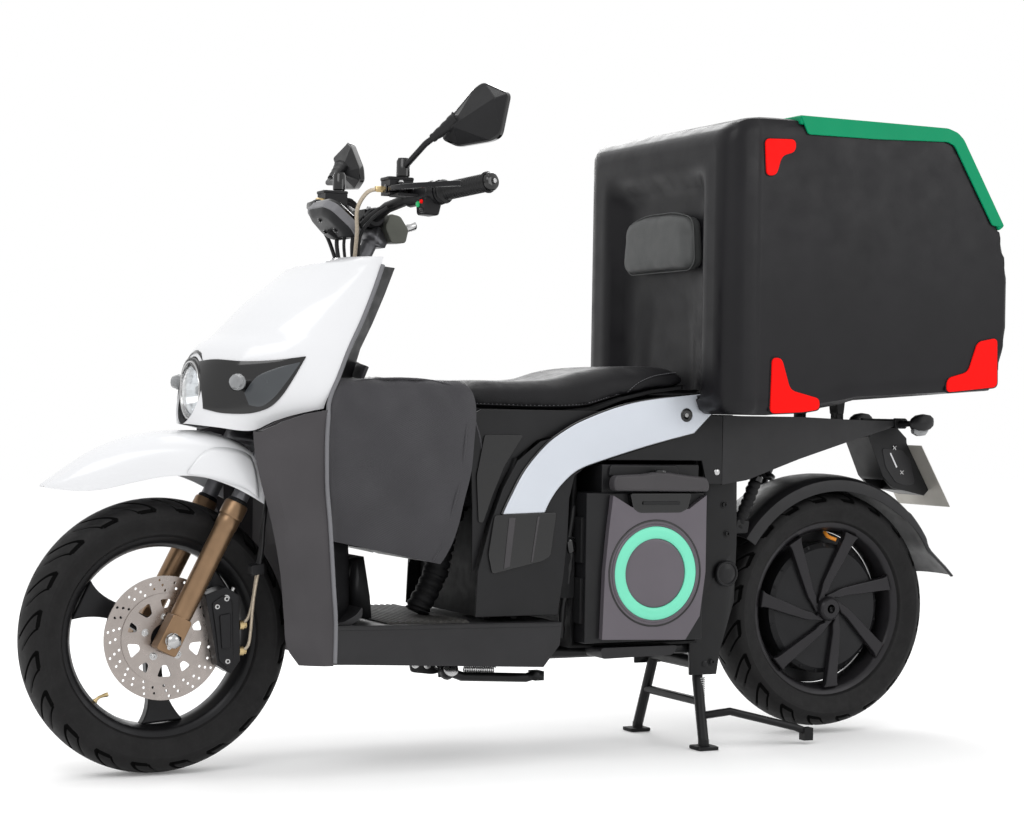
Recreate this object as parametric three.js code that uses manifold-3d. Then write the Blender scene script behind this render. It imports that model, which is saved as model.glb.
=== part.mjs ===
// Electric delivery moped on its centre stand. Millimetres, +Z up, forward is -Y, the rider's left is +X.
import * as THREE from 'three';
import { mergeVertices } from 'three/addons/utils/BufferGeometryUtils.js';
import Module from 'manifold-3d';

const wasm = await Module();
wasm.setup();

// ---------------------------------------------------------------- driving dimensions
const GAP = 0.4; // clearance between pieces that rest on each other
const TYRE_R = 257; // outside radius of both 14 inch tyres
const FRONT_AXLE = [0, -782, 257];
const REAR_AXLE = [0, 712, 270]; // held 13 clear of the ground by the stand
const FRONT_TYRE_W = 104;
const REAR_TYRE_W = 118;
const RIM_R = 188; // rim flange radius
const DISC_R = 115;

const RAKE = THREE.MathUtils.degToRad(27);
const STEER_ORIGIN = [0, -751, 241]; // on the steering axis, beside the front axle
const FORK_OFFSET = 35; // fork legs ahead of the steering axis
const FORK_X = 85;
const SLIDER_R = 20;
const STANCHION_R = 16;
const STEM_R = 15;

const DECK_HALF = 190;
const SIDE_X = 165; // outer face of the side panels
const PANEL_T = 5;

const BATTERY = { x0: -150, x1: 188, y0: 32, y1: 302, z0: 232, z1: 528 };
const BATTERY_RING = [182, 369];
const PIVOT = [400, 358]; // swingarm pivot, y and z
const STAND_PIVOT = [356, 172];
const SIDE_STAND_PIVOT = [130, -236, 182];
const SIDE_STAND_TILT = THREE.MathUtils.degToRad(25);
const BOX_HALF = 290;
const BOX_WALL = 8;
const SHOCK_LOW = [-110, 545, 372];
const SHOCK_HIGH = [-110, 662, 592];

const BLACK = 0x17181a;
const GREY = 0x34373b;
const STEEL = 0x8d9196;

// ---------------------------------------------------------------- solid helpers
function solid(geometry) {
  const clean = geometry.clone();
  clean.deleteAttribute('normal');
  clean.deleteAttribute('uv');
  const merged = mergeVertices(clean, 1e-4);
  const index = merged.index.array;
  const tris = [];
  for (let i = 0; i < index.length; i += 3) {
    const [a, b, c] = [index[i], index[i + 1], index[i + 2]];
    if (a !== b && b !== c && c !== a) tris.push(a, b, c);
  }
  const vertProperties = new Float32Array(merged.attributes.position.array);
  const build = (list) => new wasm.Manifold(
    new wasm.Mesh({ numProp: 3, vertProperties, triVerts: new Uint32Array(list) }));
  const made = build(tris);
  if (made.volume() > 0) return made;
  const flipped = [];
  for (let i = 0; i < tris.length; i += 3) flipped.push(tris[i], tris[i + 2], tris[i + 1]);
  return build(flipped);
}

const union = (list) => list.reduce((a, b) => a.add(b));
const cut = (base, list) => list.reduce((a, b) => a.subtract(b), base);

function block(x0, x1, y0, y1, z0, z1) {
  return solid(new THREE.BoxGeometry(x1 - x0, y1 - y0, z1 - z0)
    .translate((x0 + x1) / 2, (y0 + y1) / 2, (z0 + z1) / 2));
}

function shapeOf(points) {
  return new THREE.Shape(points.map((p) => new THREE.Vector2(p[0], p[1])));
}

// plate cut from a side outline of [y, z] points, running from x0 to x1
function sidePlate(points, x0, x1) {
  const made = new THREE.ExtrudeGeometry(shapeOf(points), { depth: x1 - x0, bevelEnabled: false });
  const turn = new THREE.Matrix4().set(0, 0, 1, x0, 1, 0, 0, 0, 0, 1, 0, 0, 0, 0, 0, 1);
  return solid(made.applyMatrix4(turn));
}

// plate cut from a plan outline of [x, y] points, running from z0 to z1
function planPlate(points, z0, z1) {
  const made = new THREE.ExtrudeGeometry(shapeOf(points), { depth: z1 - z0, bevelEnabled: false });
  return solid(made.translate(0, 0, z0));
}

function rod(a, b, r, r2 = r, sides = 10) {
  const start = new THREE.Vector3(...a);
  const along = new THREE.Vector3(...b).sub(start);
  const made = new THREE.CylinderGeometry(r2, r, along.length(), sides);
  made.translate(0, along.length() / 2, 0);
  const turn = new THREE.Quaternion().setFromUnitVectors(new THREE.Vector3(0, 1, 0),
    along.clone().normalize());
  return solid(made.applyQuaternion(turn).translate(...a));
}

function ball(at, r, sides = 8) {
  return solid(new THREE.SphereGeometry(r, sides, Math.round(sides * 0.7)).translate(...at));
}

// bent tube with mitred corners; the radius may be one number or one per point
function pipe(points, radius, sides = 8) {
  const at = points.map((p) => new THREE.Vector3(...p));
  const along = at.slice(1).map((p, i) => p.clone().sub(at[i]).normalize());
  let across = new THREE.Vector3(1, 0, 0);
  if (Math.abs(along[0].x) > 0.9) across = new THREE.Vector3(0, 0, 1);
  across.addScaledVector(along[0], -across.dot(along[0])).normalize();
  const rings = at.map((centre, i) => {
    const before = along[Math.max(i - 1, 0)];
    const after = along[Math.min(i, along.length - 1)];
    const mitre = before.clone().add(after).normalize();
    const up = new THREE.Vector3().crossVectors(before, across);
    const r = Array.isArray(radius) ? radius[i] : radius;
    const ring = [];
    for (let j = 0; j < sides; j += 1) {
      const t = (2 * Math.PI * j) / sides;
      const spot = across.clone().multiplyScalar(r * Math.cos(t)).addScaledVector(up, r * Math.sin(t));
      spot.addScaledVector(before, -spot.dot(mitre) / before.dot(mitre)).add(centre);
      ring.push([spot.x, spot.y, spot.z]);
    }
    across.applyQuaternion(new THREE.Quaternion().setFromUnitVectors(before, after));
    return ring;
  });
  return loft(rings);
}

// smooth tube along a curve through the points
function hose(points, r, steps = 12, sides = 6) {
  const circle = [];
  for (let i = 0; i < sides; i += 1) {
    const t = (2 * Math.PI * i) / sides;
    circle.push([r * Math.cos(t), r * Math.sin(t)]);
  }
  const curve = new THREE.CatmullRomCurve3(points.map((p) => new THREE.Vector3(...p)));
  return solid(new THREE.ExtrudeGeometry(shapeOf(circle), { steps, extrudePath: curve,
    bevelEnabled: false }));
}

// profile of [radius, x] points turned about the X axis through a centre
function wheelTurn(profile, centre, sides = 28) {
  const points = [...profile, profile[0]].map((p) => new THREE.Vector2(p[0], p[1]));
  const made = new THREE.LatheGeometry(points, sides).rotateZ(-Math.PI / 2);
  return solid(made.translate(...centre));
}

// skin over rings of points, closed by a flat cap at each end
function loft(rings) {
  const count = rings[0].length;
  const positions = rings.flat(2);
  const index = [];
  for (let i = 0; i + 1 < rings.length; i += 1) {
    for (let j = 0; j < count; j += 1) {
      const k = (j + 1) % count;
      const [a, b, c, d] = [i * count + j, i * count + k, (i + 1) * count + k, (i + 1) * count + j];
      index.push(a, b, c, a, c, d);
    }
  }
  const capAt = (ring, base, flip) => {
    const normal = new THREE.Vector3();
    ring.forEach((p, j) => {
      const q = ring[(j + 1) % count];
      normal.x += (p[1] - q[1]) * (p[2] + q[2]);
      normal.y += (p[2] - q[2]) * (p[0] + q[0]);
      normal.z += (p[0] - q[0]) * (p[1] + q[1]);
    });
    normal.normalize();
    const side = Math.abs(normal.z) < 0.9 ? new THREE.Vector3(0, 0, 1) : new THREE.Vector3(1, 0, 0);
    const u = new THREE.Vector3().crossVectors(side, normal).normalize();
    const v = new THREE.Vector3().crossVectors(normal, u);
    const flat = ring.map((p) => {
      const q = new THREE.Vector3(...p);
      return new THREE.Vector2(q.dot(u), q.dot(v));
    });
    THREE.ShapeUtils.triangulateShape(flat, []).forEach(([a, b, c]) => {
      if (flip) index.push(base + a, base + c, base + b);
      else index.push(base + a, base + b, base + c);
    });
  };
  capAt(rings[0], 0, true);
  capAt(rings[rings.length - 1], (rings.length - 1) * count, false);
  const made = new THREE.BufferGeometry();
  made.setAttribute('position', new THREE.Float32BufferAttribute(positions, 3));
  made.setIndex(index);
  return solid(made);
}

// straight-line reading of a table of [key, value] rows
function read(table, key) {
  if (key <= table[0][0]) return table[0][1];
  for (let i = 0; i + 1 < table.length; i += 1) {
    const [k0, v0] = table[i];
    const [k1, v1] = table[i + 1];
    if (key <= k1) return v0 + ((v1 - v0) * (key - k0)) / (k1 - k0);
  }
  return table[table.length - 1][1];
}

// point in the steering frame: along the axis, ahead of it, and across
function steer(along, ahead, across = 0) {
  const [c, s] = [Math.cos(RAKE), Math.sin(RAKE)];
  return [across, STEER_ORIGIN[1] + along * s - ahead * c, STEER_ORIGIN[2] + along * c + ahead * s];
}

// point along the tilted pin of the side stand
function standPin(along) {
  const [x, y, z] = SIDE_STAND_PIVOT;
  return [x + along * Math.cos(SIDE_STAND_TILT), y, z + along * Math.sin(SIDE_STAND_TILT)];
}

const scooter = new THREE.Group();
scooter.name = 'moped_scooter';

function add(name, made, color, roughness = 0.5, metalness = 0.0) {
  const mesh = made.getMesh();
  const geometry = new THREE.BufferGeometry();
  geometry.setAttribute('position', new THREE.BufferAttribute(new Float32Array(mesh.vertProperties), 3));
  geometry.setIndex(Array.from(mesh.triVerts));
  geometry.computeVertexNormals();
  const piece = new THREE.Mesh(geometry, new THREE.MeshStandardMaterial({ color, roughness, metalness }));
  piece.name = name;
  scooter.add(piece);
}

// ---------------------------------------------------------------- wheels
function tyreProfile(width) {
  const h = width / 2;
  return [
    [RIM_R - 8, -0.62 * h], [RIM_R + 14, -0.86 * h], [226, -h], [248, -0.7 * h], [TYRE_R, -0.2 * h],
    [TYRE_R, 0.2 * h], [248, 0.7 * h], [226, h], [RIM_R + 14, 0.86 * h], [RIM_R - 8, 0.62 * h],
    [RIM_R - 8, 0.5 * h], [222, 0.84 * h], [245, 0.3 * h], [245, -0.3 * h], [222, -0.84 * h],
      [RIM_R - 8, -0.5 * h],
  ];
}

function rimBarrel(width, centre) {
  const inside = 0.62 * (width / 2) - GAP;
  const profile = [
    [166, -0.5 * inside], [172, -inside - 4], [RIM_R - 8 - GAP, -inside - 4],
      [RIM_R - 8 - GAP, -0.8 * inside],
    [174, -0.6 * inside], [174, 0.6 * inside], [RIM_R - 8 - GAP, 0.8 * inside],
    [RIM_R - 8 - GAP, inside + 4], [172, inside + 4], [166, 0.5 * inside],
  ];
  return wheelTurn(profile, centre);
}

add('front_tyre', wheelTurn(tyreProfile(FRONT_TYRE_W), FRONT_AXLE), BLACK, 0.9);
add('rear_tyre', wheelTurn(tyreProfile(REAR_TYRE_W), REAR_AXLE), BLACK, 0.9);

// spoke outline in the wheel plane, from hub radius to rim radius, turned to an angle
function spoke(centre, angle, hubR, rimR, hubW, rimW, sweep, x0, x1) {
  const points = [];
  const steps = 3;
  for (let side = 1; side >= -1; side -= 2) {
    for (let i = 0; i <= steps; i += 1) {
      const t = side > 0 ? i / steps : 1 - i / steps;
      const r = hubR + (rimR - hubR) * t;
      const half = (hubW + (rimW - hubW) * t) / 2;
      const a = angle + sweep * Math.sin(t * Math.PI * 0.5) + (side * half) / r;
      points.push([centre[1] + r * Math.cos(a), centre[2] + r * Math.sin(a)]);
    }
  }
  return sidePlate(points, x0, x1);
}

const frontSpokes = [0, 1, 2].map((i) => spoke(
  FRONT_AXLE, THREE.MathUtils.degToRad(140 + 120 * i), 24, 170, 34, 62, 0.25, -14, 14));
const frontHub = rod([-40, FRONT_AXLE[1], FRONT_AXLE[2]], [54, FRONT_AXLE[1], FRONT_AXLE[2]], 30, 30, 14);
const frontBore = rod([-80, FRONT_AXLE[1], FRONT_AXLE[2]], [80, FRONT_AXLE[1], FRONT_AXLE[2]], 8.4, 8.4, 14);
add('front_rim', cut(union([rimBarrel(FRONT_TYRE_W, FRONT_AXLE), frontHub, ...frontSpokes]), [frontBore]),
  BLACK, 0.4, 0.3);

const discHoles = [];
for (let i = 0; i < 5; i += 1) {
  discHoles.push(spoke(FRONT_AXLE, (2 * Math.PI * i) / 5, 50, 78, 30, 44, 0, 40, 80));
}
const discBody = rod([54 + GAP, FRONT_AXLE[1], FRONT_AXLE[2]], [58.5, FRONT_AXLE[1], FRONT_AXLE[2]],
  DISC_R, DISC_R, 40);
add('front_brake_disc', cut(discBody, [frontBore, ...discHoles]), 0xc8cacc, 0.3, 0.9);

const axle = union([
  rod([-112, FRONT_AXLE[1], FRONT_AXLE[2]], [112, FRONT_AXLE[1], FRONT_AXLE[2]], 8, 8, 14),
  rod([FORK_X + 24, FRONT_AXLE[1], FRONT_AXLE[2]], [FORK_X + 34, FRONT_AXLE[1], FRONT_AXLE[2]], 14, 14, 6),
]);
add('front_axle', axle, STEEL, 0.35, 0.9);

// rear wheel: seven swept spokes standing over the drum of the hub motor
const [, ry, rz] = REAR_AXLE;
const motorProfile = [
  [10.4, -52], [120, -46], [132, -36], [140, -30], [140, 24], [134, 30], [26, 36], [26, 52], [10.4, 52],
];
const rearSpokes = [];
for (let i = 0; i < 7; i += 1) {
  rearSpokes.push(spoke(REAR_AXLE, THREE.MathUtils.degToRad(59 + (360 / 7) * i), 22, 170, 20, 30, -0.74,
    10, 44));
}
add('rear_rim',
  cut(union([rimBarrel(REAR_TYRE_W, REAR_AXLE), wheelTurn(motorProfile, REAR_AXLE), ...rearSpokes]), [
  rod([-60, ry, rz], [60, ry, rz], 10.4, 10.4, 14)]), GREY, 0.4, 0.4);

// ---------------------------------------------------------------- fork, mudguard and front brake
function forkLeg(side) {
  const x = side * FORK_X;
  const foot = union([
    rod(steer(-8, FORK_OFFSET, x), steer(272, FORK_OFFSET, x), SLIDER_R, SLIDER_R, 14),
    rod(steer(258, FORK_OFFSET, x), steer(280, FORK_OFFSET, x), SLIDER_R + 3, SLIDER_R + 3, 14),
    rod([x - side * 20, FRONT_AXLE[1], FRONT_AXLE[2]], [x + side * 22, FRONT_AXLE[1], FRONT_AXLE[2]], 24,
      24, 14),
  ]);
  return cut(foot, [
    rod(steer(120, FORK_OFFSET, x), steer(300, FORK_OFFSET, x), STANCHION_R + 0.4, STANCHION_R + 0.4, 14),
    rod([-120, FRONT_AXLE[1], FRONT_AXLE[2]], [120, FRONT_AXLE[1], FRONT_AXLE[2]], 8.4, 8.4, 14),
  ]);
}
add('fork_slider_left', forkLeg(1), 0x8a6b45, 0.35, 0.7);
add('fork_slider_right', forkLeg(-1), 0x8a6b45, 0.35, 0.7);

const stanchions = [1, -1].map((s) => rod(
  steer(200, FORK_OFFSET, s * FORK_X), steer(436, FORK_OFFSET, s * FORK_X), STANCHION_R, STANCHION_R, 14));
const yokePlate = [
  [-108, 14], [-108, 56], [-62, 56], [-34, 24], [34, 24], [62, 56], [108, 56], [108, 14], [36, -24],
    [-36, -24],
];
const yoke = loft([404, 430].map((s) => yokePlate.map(([x, ahead]) => steer(s, ahead, x))));
const stem = rod(steer(410, 0), steer(884, 0), STEM_R, STEM_R, 14);
const barClamp = loft([862, 892].map((s) => [
  [-34, -20], [34, -20], [34, 18], [-34, 18]].map(([x, ahead]) => steer(s, ahead, x))));
add('fork_upper', union([yoke, stem, barClamp, ...stanchions]), 0x6f7276, 0.3, 0.8);

// mudguard: arched sections from beak to fork; rows of y, crown height, half width, skirt height
const guardRows = [
  [-1000, 540, 20, 534], [-978, 555, 34, 534], [-945, 579, 50, 530], [-905, 603, 62, 532],
  [-850, 624, 74, 544], [-790, 636, 88, 556], [-730, 640, 104, 556], [-680, 638, 116, 540],
  [-640, 622, 118, 522], [-612, 604, 116, 506],
];
function arch(y, top, half, low, inset) {
  const [w, t] = [half - inset, top - inset];
  const outline = [
    [-w, low], [-w * 0.98, low + (t - low) * 0.45], [-w * 0.72, low + (t - low) * 0.86], [-w * 0.3, t - 2],
    [0, t], [w * 0.3, t - 2], [w * 0.72, low + (t - low) * 0.86], [w * 0.98, low + (t - low) * 0.45],
      [w, low],
  ];
  return outline.map(([x, z]) => [x, y, z]);
}
const guardShell = loft(guardRows.map(([y, top, half, low]) => [
  ...arch(y, top, half, low, 0), ...arch(y, top, half, low, 4).reverse()]));
const guardCuts = [
  ...[1, -1].map((s) => rod(steer(180, FORK_OFFSET, s * FORK_X), steer(470, FORK_OFFSET, s * FORK_X), 18,
    18, 14)),
  loft([390, 460].map((s) => yokePlate.map(([x, ahead]) => steer(s, ahead + 3 * Math.sign(ahead),
    x * 1.05)))),
];
const guardBridge = block(-30, 30, -668, -608, 618, 624);
add('front_mudguard', cut(guardShell.add(cut(guardBridge, guardCuts)), guardCuts), 0xf1f2f2, 0.25);

// brake caliper straddling the disc behind the left fork leg
const caliperSide = [[-716, 338], [-676, 352], [-650, 336], [-646, 214], [-664, 190], [-690, 206],
  [-700, 262]];
const caliper = cut(sidePlate(caliperSide, 48, 92), [
  rod([54.4 - 2, FRONT_AXLE[1], FRONT_AXLE[2]], [60.5, FRONT_AXLE[1], FRONT_AXLE[2]], DISC_R + 3,
    DISC_R + 3, 32),
  rod(steer(-20, FORK_OFFSET, FORK_X), steer(300, FORK_OFFSET, FORK_X), SLIDER_R + GAP, SLIDER_R + GAP, 14),
  rod([40, FRONT_AXLE[1], FRONT_AXLE[2]], [53, FRONT_AXLE[1], FRONT_AXLE[2]], DISC_R - 12, DISC_R - 12, 32),
]);
add('front_caliper', caliper, BLACK, 0.35, 0.5);

add('front_brake_hose', hose([
  [85, -642, 264], [92, -622, 300], [94, -612, 372], [96, -622, 420], [92, -614, 470], [70, -590, 540],
  [44, -569, 580]], 4), BLACK, 0.6);

// ---------------------------------------------------------------- steering head and handlebar
const BAR_INNER = [150, -346, 1086];
const BAR_OUTER = [345, -268, 1108];
const BAR_R = 11;
const barAt = (t, side = 1) => BAR_INNER.map((v, i) => (v + (BAR_OUTER[i] - v) * t) * (i === 0 ? side : 1));
const barHalf = (side) => [barAt(1, side), barAt(0, side), [side * 90, -362, 1074], [side * 40, -366, 1058]];
const barPath = [...barHalf(1), ...barHalf(-1).reverse()];
const handlebar = union([
  pipe(barPath, BAR_R, 14),
  cut(block(-30, 30, -384, -348, 1030, 1074), [loft([840, 892 + GAP].map((s) => [
    [-60, -60], [60, -60], [60, 60], [-60, 60]].map(([x, ahead]) => steer(s, ahead, x))))]),
]);
add('handlebar', handlebar, BLACK, 0.4, 0.5);

function grip(side) {
  const sleeve = union([
    rod(barAt(0.42, side), barAt(0.985, side), 16.5, 16.5, 14),
    rod(barAt(0.42, side), barAt(0.45, side), 20, 20, 14),
    rod(barAt(0.94, side), barAt(0.985, side), 18.5, 18.5, 14),
  ]);
  return cut(sleeve, [rod(barAt(-0.1, side), barAt(1.2, side), BAR_R + 0.3, BAR_R + 0.3, 14)]);
}
add('grip_left', grip(1), BLACK, 0.85);
add('throttle_grip', grip(-1), BLACK, 0.85);

// switch housing clamped round the bar, with the lever perch and the mirror stem
const LEVER_PIVOT = [186, -377, 1100];
const MIRRORS = {
  1: { stem: [238, -352, 1182], head: [306, -286, 1250] },
  '-1': { stem: [-244, -350, 1150], head: [-306, -282, 1208] },
};
function controls(side) {
  const at = (t) => barAt(t, side);
  const mirror = MIRRORS[side];
  const base = [side * 158, -361, 1096];
  const ballAt = mirror.head.map((v, i) => v + (mirror.stem[i] - v) * 0.34);
  const body = union([
    rod(at(0.16), at(0.4), 24, 24, 12),
    rod(at(0.02), at(0.18), 17, 17, 12),
    block(side > 0 ? 166 : -206, side > 0 ? 206 : -166, -392, -340, 1086, 1091),
    block(side > 0 ? 140 : -182, side > 0 ? 182 : -140, -398, -350, 1090, 1118),
    pipe([base, [side * 158, -361, 1142], mirror.stem, ballAt], 6, 10),
    ball(ballAt, 9, 10),
  ]);
  const leverRoom = block(side > 0 ? 164 : -240, side > 0 ? 240 : -164, -420, -352, 1094, 1107);
  const barRoom = rod(at(-0.6), at(1.2), BAR_R + 0.2, BAR_R + 0.2, 14);
  const perch = rod([side * LEVER_PIVOT[0], LEVER_PIVOT[1], 1088], [side * LEVER_PIVOT[0], LEVER_PIVOT[1],
    1112], 5, 5, 12);
  return cut(cut(body, [leverRoom]).add(perch), [barRoom]);
}
add('controls_left', controls(1), BLACK, 0.5);
add('controls_right', controls(-1), BLACK, 0.5);

function lever(side) {
  const plan = [
    [176, -386], [200, -392], [236, -384], [270, -372], [330, -342], [352, -328], [356, -336], [334, -354],
    [272, -386], [236, -399], [200, -404], [178, -396],
  ].map(([x, y]) => [side * x, y]);
  const eye = rod([side * LEVER_PIVOT[0], LEVER_PIVOT[1] - 8, 1095.5], [side * LEVER_PIVOT[0],
    LEVER_PIVOT[1] - 8, 1105.5], 17, 17, 14);
  const pin = rod([side * LEVER_PIVOT[0], LEVER_PIVOT[1], 1080], [side * LEVER_PIVOT[0], LEVER_PIVOT[1],
    1120], 5.4, 5.4, 12);
  const near = rod(barAt(-0.6, side), barAt(1.2, side), 26, 26, 14);
  return cut(planPlate(plan, 1095.5, 1105.5).add(eye), [pin, near]);
}
add('brake_lever_left', lever(1), 0x9a9da1, 0.3, 0.9);
add('brake_lever_right', lever(-1), 0x9a9da1, 0.3, 0.9);

// mirror heads: tapering shells, outer end turned back
const MIRROR_TURN = THREE.MathUtils.degToRad(12);
function mirrorHead(side) {
  const { stem, head } = MIRRORS[side];
  const faces = [[-20, 0.55], [-6, 0.9], [14, 1], [20, 0.97]];
  const outline = [[-66, -38], [-40, -46], [48, -40], [72, -20], [78, 22], [62, 44], [-10, 30], [-60, 4]];
  const [c, s] = [Math.cos(MIRROR_TURN), Math.sin(MIRROR_TURN)];
  const shell = loft(faces.map(([depth, scale]) => outline.map(([u, v]) => [
    head[0] + side * (u * scale * c - depth * s), head[1] + u * scale * s + depth * c,
      head[2] + v * scale])));
  const ballAt = head.map((v, i) => v + (stem[i] - v) * 0.34);
  return cut(shell, [ball(ballAt, 9.4, 10), rod(ballAt, stem, 12, 30, 12)]);
}
add('mirror_left', mirrorHead(1), BLACK, 0.4);
add('mirror_right', mirrorHead(-1), BLACK, 0.4);

// dashboard pod tilted to face the rider
const DASH = { at: [0, -436, 1052], halfW: 68, halfH: 42, thick: 34 };
const DASH_TILT = THREE.MathUtils.degToRad(42);
function dashPoint(u, v, w) {
  const [c, s] = [Math.cos(DASH_TILT), Math.sin(DASH_TILT)];
  return [DASH.at[0] + u, DASH.at[1] - v * c + w * s, DASH.at[2] + v * s + w * c];
}
const dashOutline = [[-68, -20], [-52, -42], [52, -42], [68, -20], [60, 30], [38, 42], [-38, 42], [-60, 30]];
const dashPod = loft([[-20, 0.7], [-8, 1], [10, 1], [14, 0.95]]
  .map(([w, k]) => dashOutline.map(([u, v]) => dashPoint(u * k, v * k, w))));
const dashFoot = union([
  rod(dashPoint(0, -10, -30), dashPoint(0, 0, -5), 14, 14, 12),
  rod(dashPoint(0, -10, -30), [0, -392, 1048], 10, 10, 12),
]);
add('dashboard', cut(dashPod.add(dashFoot), [
  block(-30 - GAP, 30 + GAP, -384 - GAP, -330, 1010, 1074 + GAP), rod(barPath[2], barPath[3], 12, 12, 12),
  rod([-60, -366, 1058], [60, -366, 1058], 12, 12, 12)]), BLACK, 0.35);

// ---------------------------------------------------------------- front bodywork
// edge of the panels on the rider's side, and the nose on the centre line, against height
const riderEdge = [[209, -499], [290, -499], [351, -504], [472, -514], [556, -522], [683, -519], [743, -497],
  [796, -477], [847, -452], [905, -426], [958, -404], [990, -392]];
const noseLine = [[630, -738], [690, -738], [760, -722], [800, -702], [818, -672], [840, -651], [888, -602],
  [912, -571], [947, -525], [962, -505], [976, -455]];
const cowlHalf = [[630, 148], [683, 168], [760, 178], [850, 176], [920, 168], [976, 158]];
// join line between the white cowl and the dark leg shield
const joinLine = [[-500, 688], [-563, 676], [-608, 661], [-643, 643], [-700, 648], [-800, 662]];

function bow(z, half, back, front, turns = 8) {
  const points = [];
  for (let i = 0; i <= turns; i += 1) {
    const t = -Math.PI / 2 + (Math.PI * i) / turns;
    const c = Math.cos(t);
    const across = half * Math.sign(Math.sin(t)) * Math.abs(Math.sin(t)) ** 0.85;
    points.push([across, back + (front - back) * c ** 1.1, z]);
  }
  return points;
}
function cowlSolid(inset, topZ) {
  const heights = [630, 690, 760, 800, 818, 840, 888, 920, 947, 962, topZ];
  return loft(heights.map((z) => bow(
    z, read(cowlHalf, z) - inset, read(riderEdge, z), read(noseLine, z + inset) + inset)));
}
const below = (line, drop, low) => [...line.map(([y, z]) => [y, z + drop]), [line[line.length - 1][0],
  low], [line[0][0], low]];
const HEADLAMP = [0, -706, 716];
const LAMP_R = 55;
const lampRoom = rod([0, -820, 716], [0, -640, 716], LAMP_R + 8, LAMP_R + 8, 28);
const cowl = cut(cowlSolid(0, 974), [
  cowlSolid(4, 970).translate([0, 2, 0]),
  block(-300, 300, -500, -300, 500, 690),
  sidePlate(below([[-300, 700], ...joinLine], 0, 500), -300, 300),
  lampRoom,
]);
add('front_cowl', cowl, 0xf4f5f5, 0.2);

// headlamp bowl, with the round clear lens in front of it
const bowlProfile = [[0, 30], [30, 30], [LAMP_R - 2, 4], [LAMP_R + 7, 0], [LAMP_R + 7, -16],
  [LAMP_R + 1, -16], [LAMP_R + 1, 0],
  [LAMP_R - 6, 6], [28, 24], [0, 24]];
function lampTurn(profile, at, sides = 28) {
  const made = new THREE.LatheGeometry(profile.map((p) => new THREE.Vector2(p[0], p[1])), sides);
  return solid(made.translate(...at));
}
const bowl = union([
  lampTurn(bowlProfile, HEADLAMP),
  rod([0, -678, 716], [0, -590, 716], 12, 12, 12),
]);
add('headlamp_housing', bowl, BLACK, 0.3);
const lensProfile = [[0, -26], [20, -24], [38, -17], [50, -8], [LAMP_R, 0], [LAMP_R, 4], [48, -3],
  [36, -12], [18, -19], [0, -21]];
add('headlamp_lens', lampTurn(lensProfile, [0, -712, 716]), 0xdfe6ea, 0.05);

function frontIndicator(side) {
  return union([
    ball([side * 168, -686, 732], 15, 12),
    rod([side * 126, -660, 726], [side * 168, -684, 732], 7, 9, 10),
  ]);
}
add('indicator_front_left', cut(frontIndicator(1), [cowlSolid(0, 974).translate([0, -0.4, 0])]), 0xd9dde0,
  0.2);
add('indicator_front_right', cut(frontIndicator(-1), [cowlSolid(0, 974).translate([0, -0.4, 0])]),
  0xd9dde0, 0.2);

// leg shield: a deep U in plan, its cheeks reaching forward beside the tyre
const cheekFront = [[209, -556], [243, -580], [299, -587], [389, -597], [475, -615], [554, -638],
  [608, -650], [690, -656]];
const cheekRidge = [[209, -522], [303, -559], [415, -577], [537, -613], [623, -622], [690, -628]];
const shieldBack = [[209, -478], [420, -478], [520, -508], [690, -512]];
function shieldRing(z) {
  const [yf, yb, ye, yc] = [cheekFront, cheekRidge, riderEdge, shieldBack].map((line) => read(line, z));
  const turn = yb + (ye - yb) * 0.4;
  const half = [[60, yc - 4], [94, yc - 9], [128, -516], [153, -536], [153, yf + 7], [160, yf], [186, yb],
    [190, turn],
    [190, ye], [185, ye], [185, turn], [181, yb + 6], [158, yf + 12], [158, -534], [131, -512],
      [96, yc - 5], [60, yc]];
  const other = half.map(([x, y]) => [-x, y]).reverse();
  return [...half, ...other].map(([x, y]) => [x, y, z]);
}
const shieldHeights = [209, 243, 299, 389, 420, 475, 520, 554, 608, 640, 690];
const aboveJoin = [[-300, 700], ...joinLine, [-800, 900], [-300, 900]].map(([y, z]) => [y, z - 0.8]);
add('leg_shield', cut(loft(shieldHeights.map(shieldRing)), [
  sidePlate(aboveJoin, -300, 300),
  block(-70, 70, -600, -500, 600, 700),
]), BLACK, 0.55);

// rider-side panel: bulges back over the steering head, flat lower down
const bulge = [[286, 68], [400, 75], [520, 79], [560, 78], [700, 68], [800, 60], [958, 62]];
function innerRing(z) {
  const ye = read(riderEdge, z) + 1;
  const half = Math.min(183, read([[286, 183], [683, 164], [760, 172], [850, 170], [920, 162], [958, 156]],
    z));
  const yb = ye + read(bulge, z);
  const rear = [[-half, ye + 2], [-half * 0.88, ye + 8], [-half * 0.6, yb - 5], [-half * 0.45, yb],
    [half * 0.45, yb],
    [half * 0.6, yb - 5], [half * 0.88, ye + 8], [half, ye + 2]];
  const front = rear.map(([x, y]) => [x * 0.985, y - 4]).reverse();
  return [...rear, ...front].map(([x, y]) => [x, y, z]);
}
const footBlock = sidePlate([[-433, 288], [-394, 288], [-398, 330], [-412, 406], [-433, 398]], -120, 120);
const innerSkin = loft([286, 330, 400, 500, 560, 630, 683, 743, 800, 850, 905, 940, 958].map(innerRing));

// ---------------------------------------------------------------- floor
const deckSide = [[-498.5, 283], [-20, 276], [-24, 232], [-59, 190], [-364, 205], [-470, 210], [-498.5, 211]];
const deckRoom = [[-470, 262], [-66, 262], [-66, 150], [-470, 150]];
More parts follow.
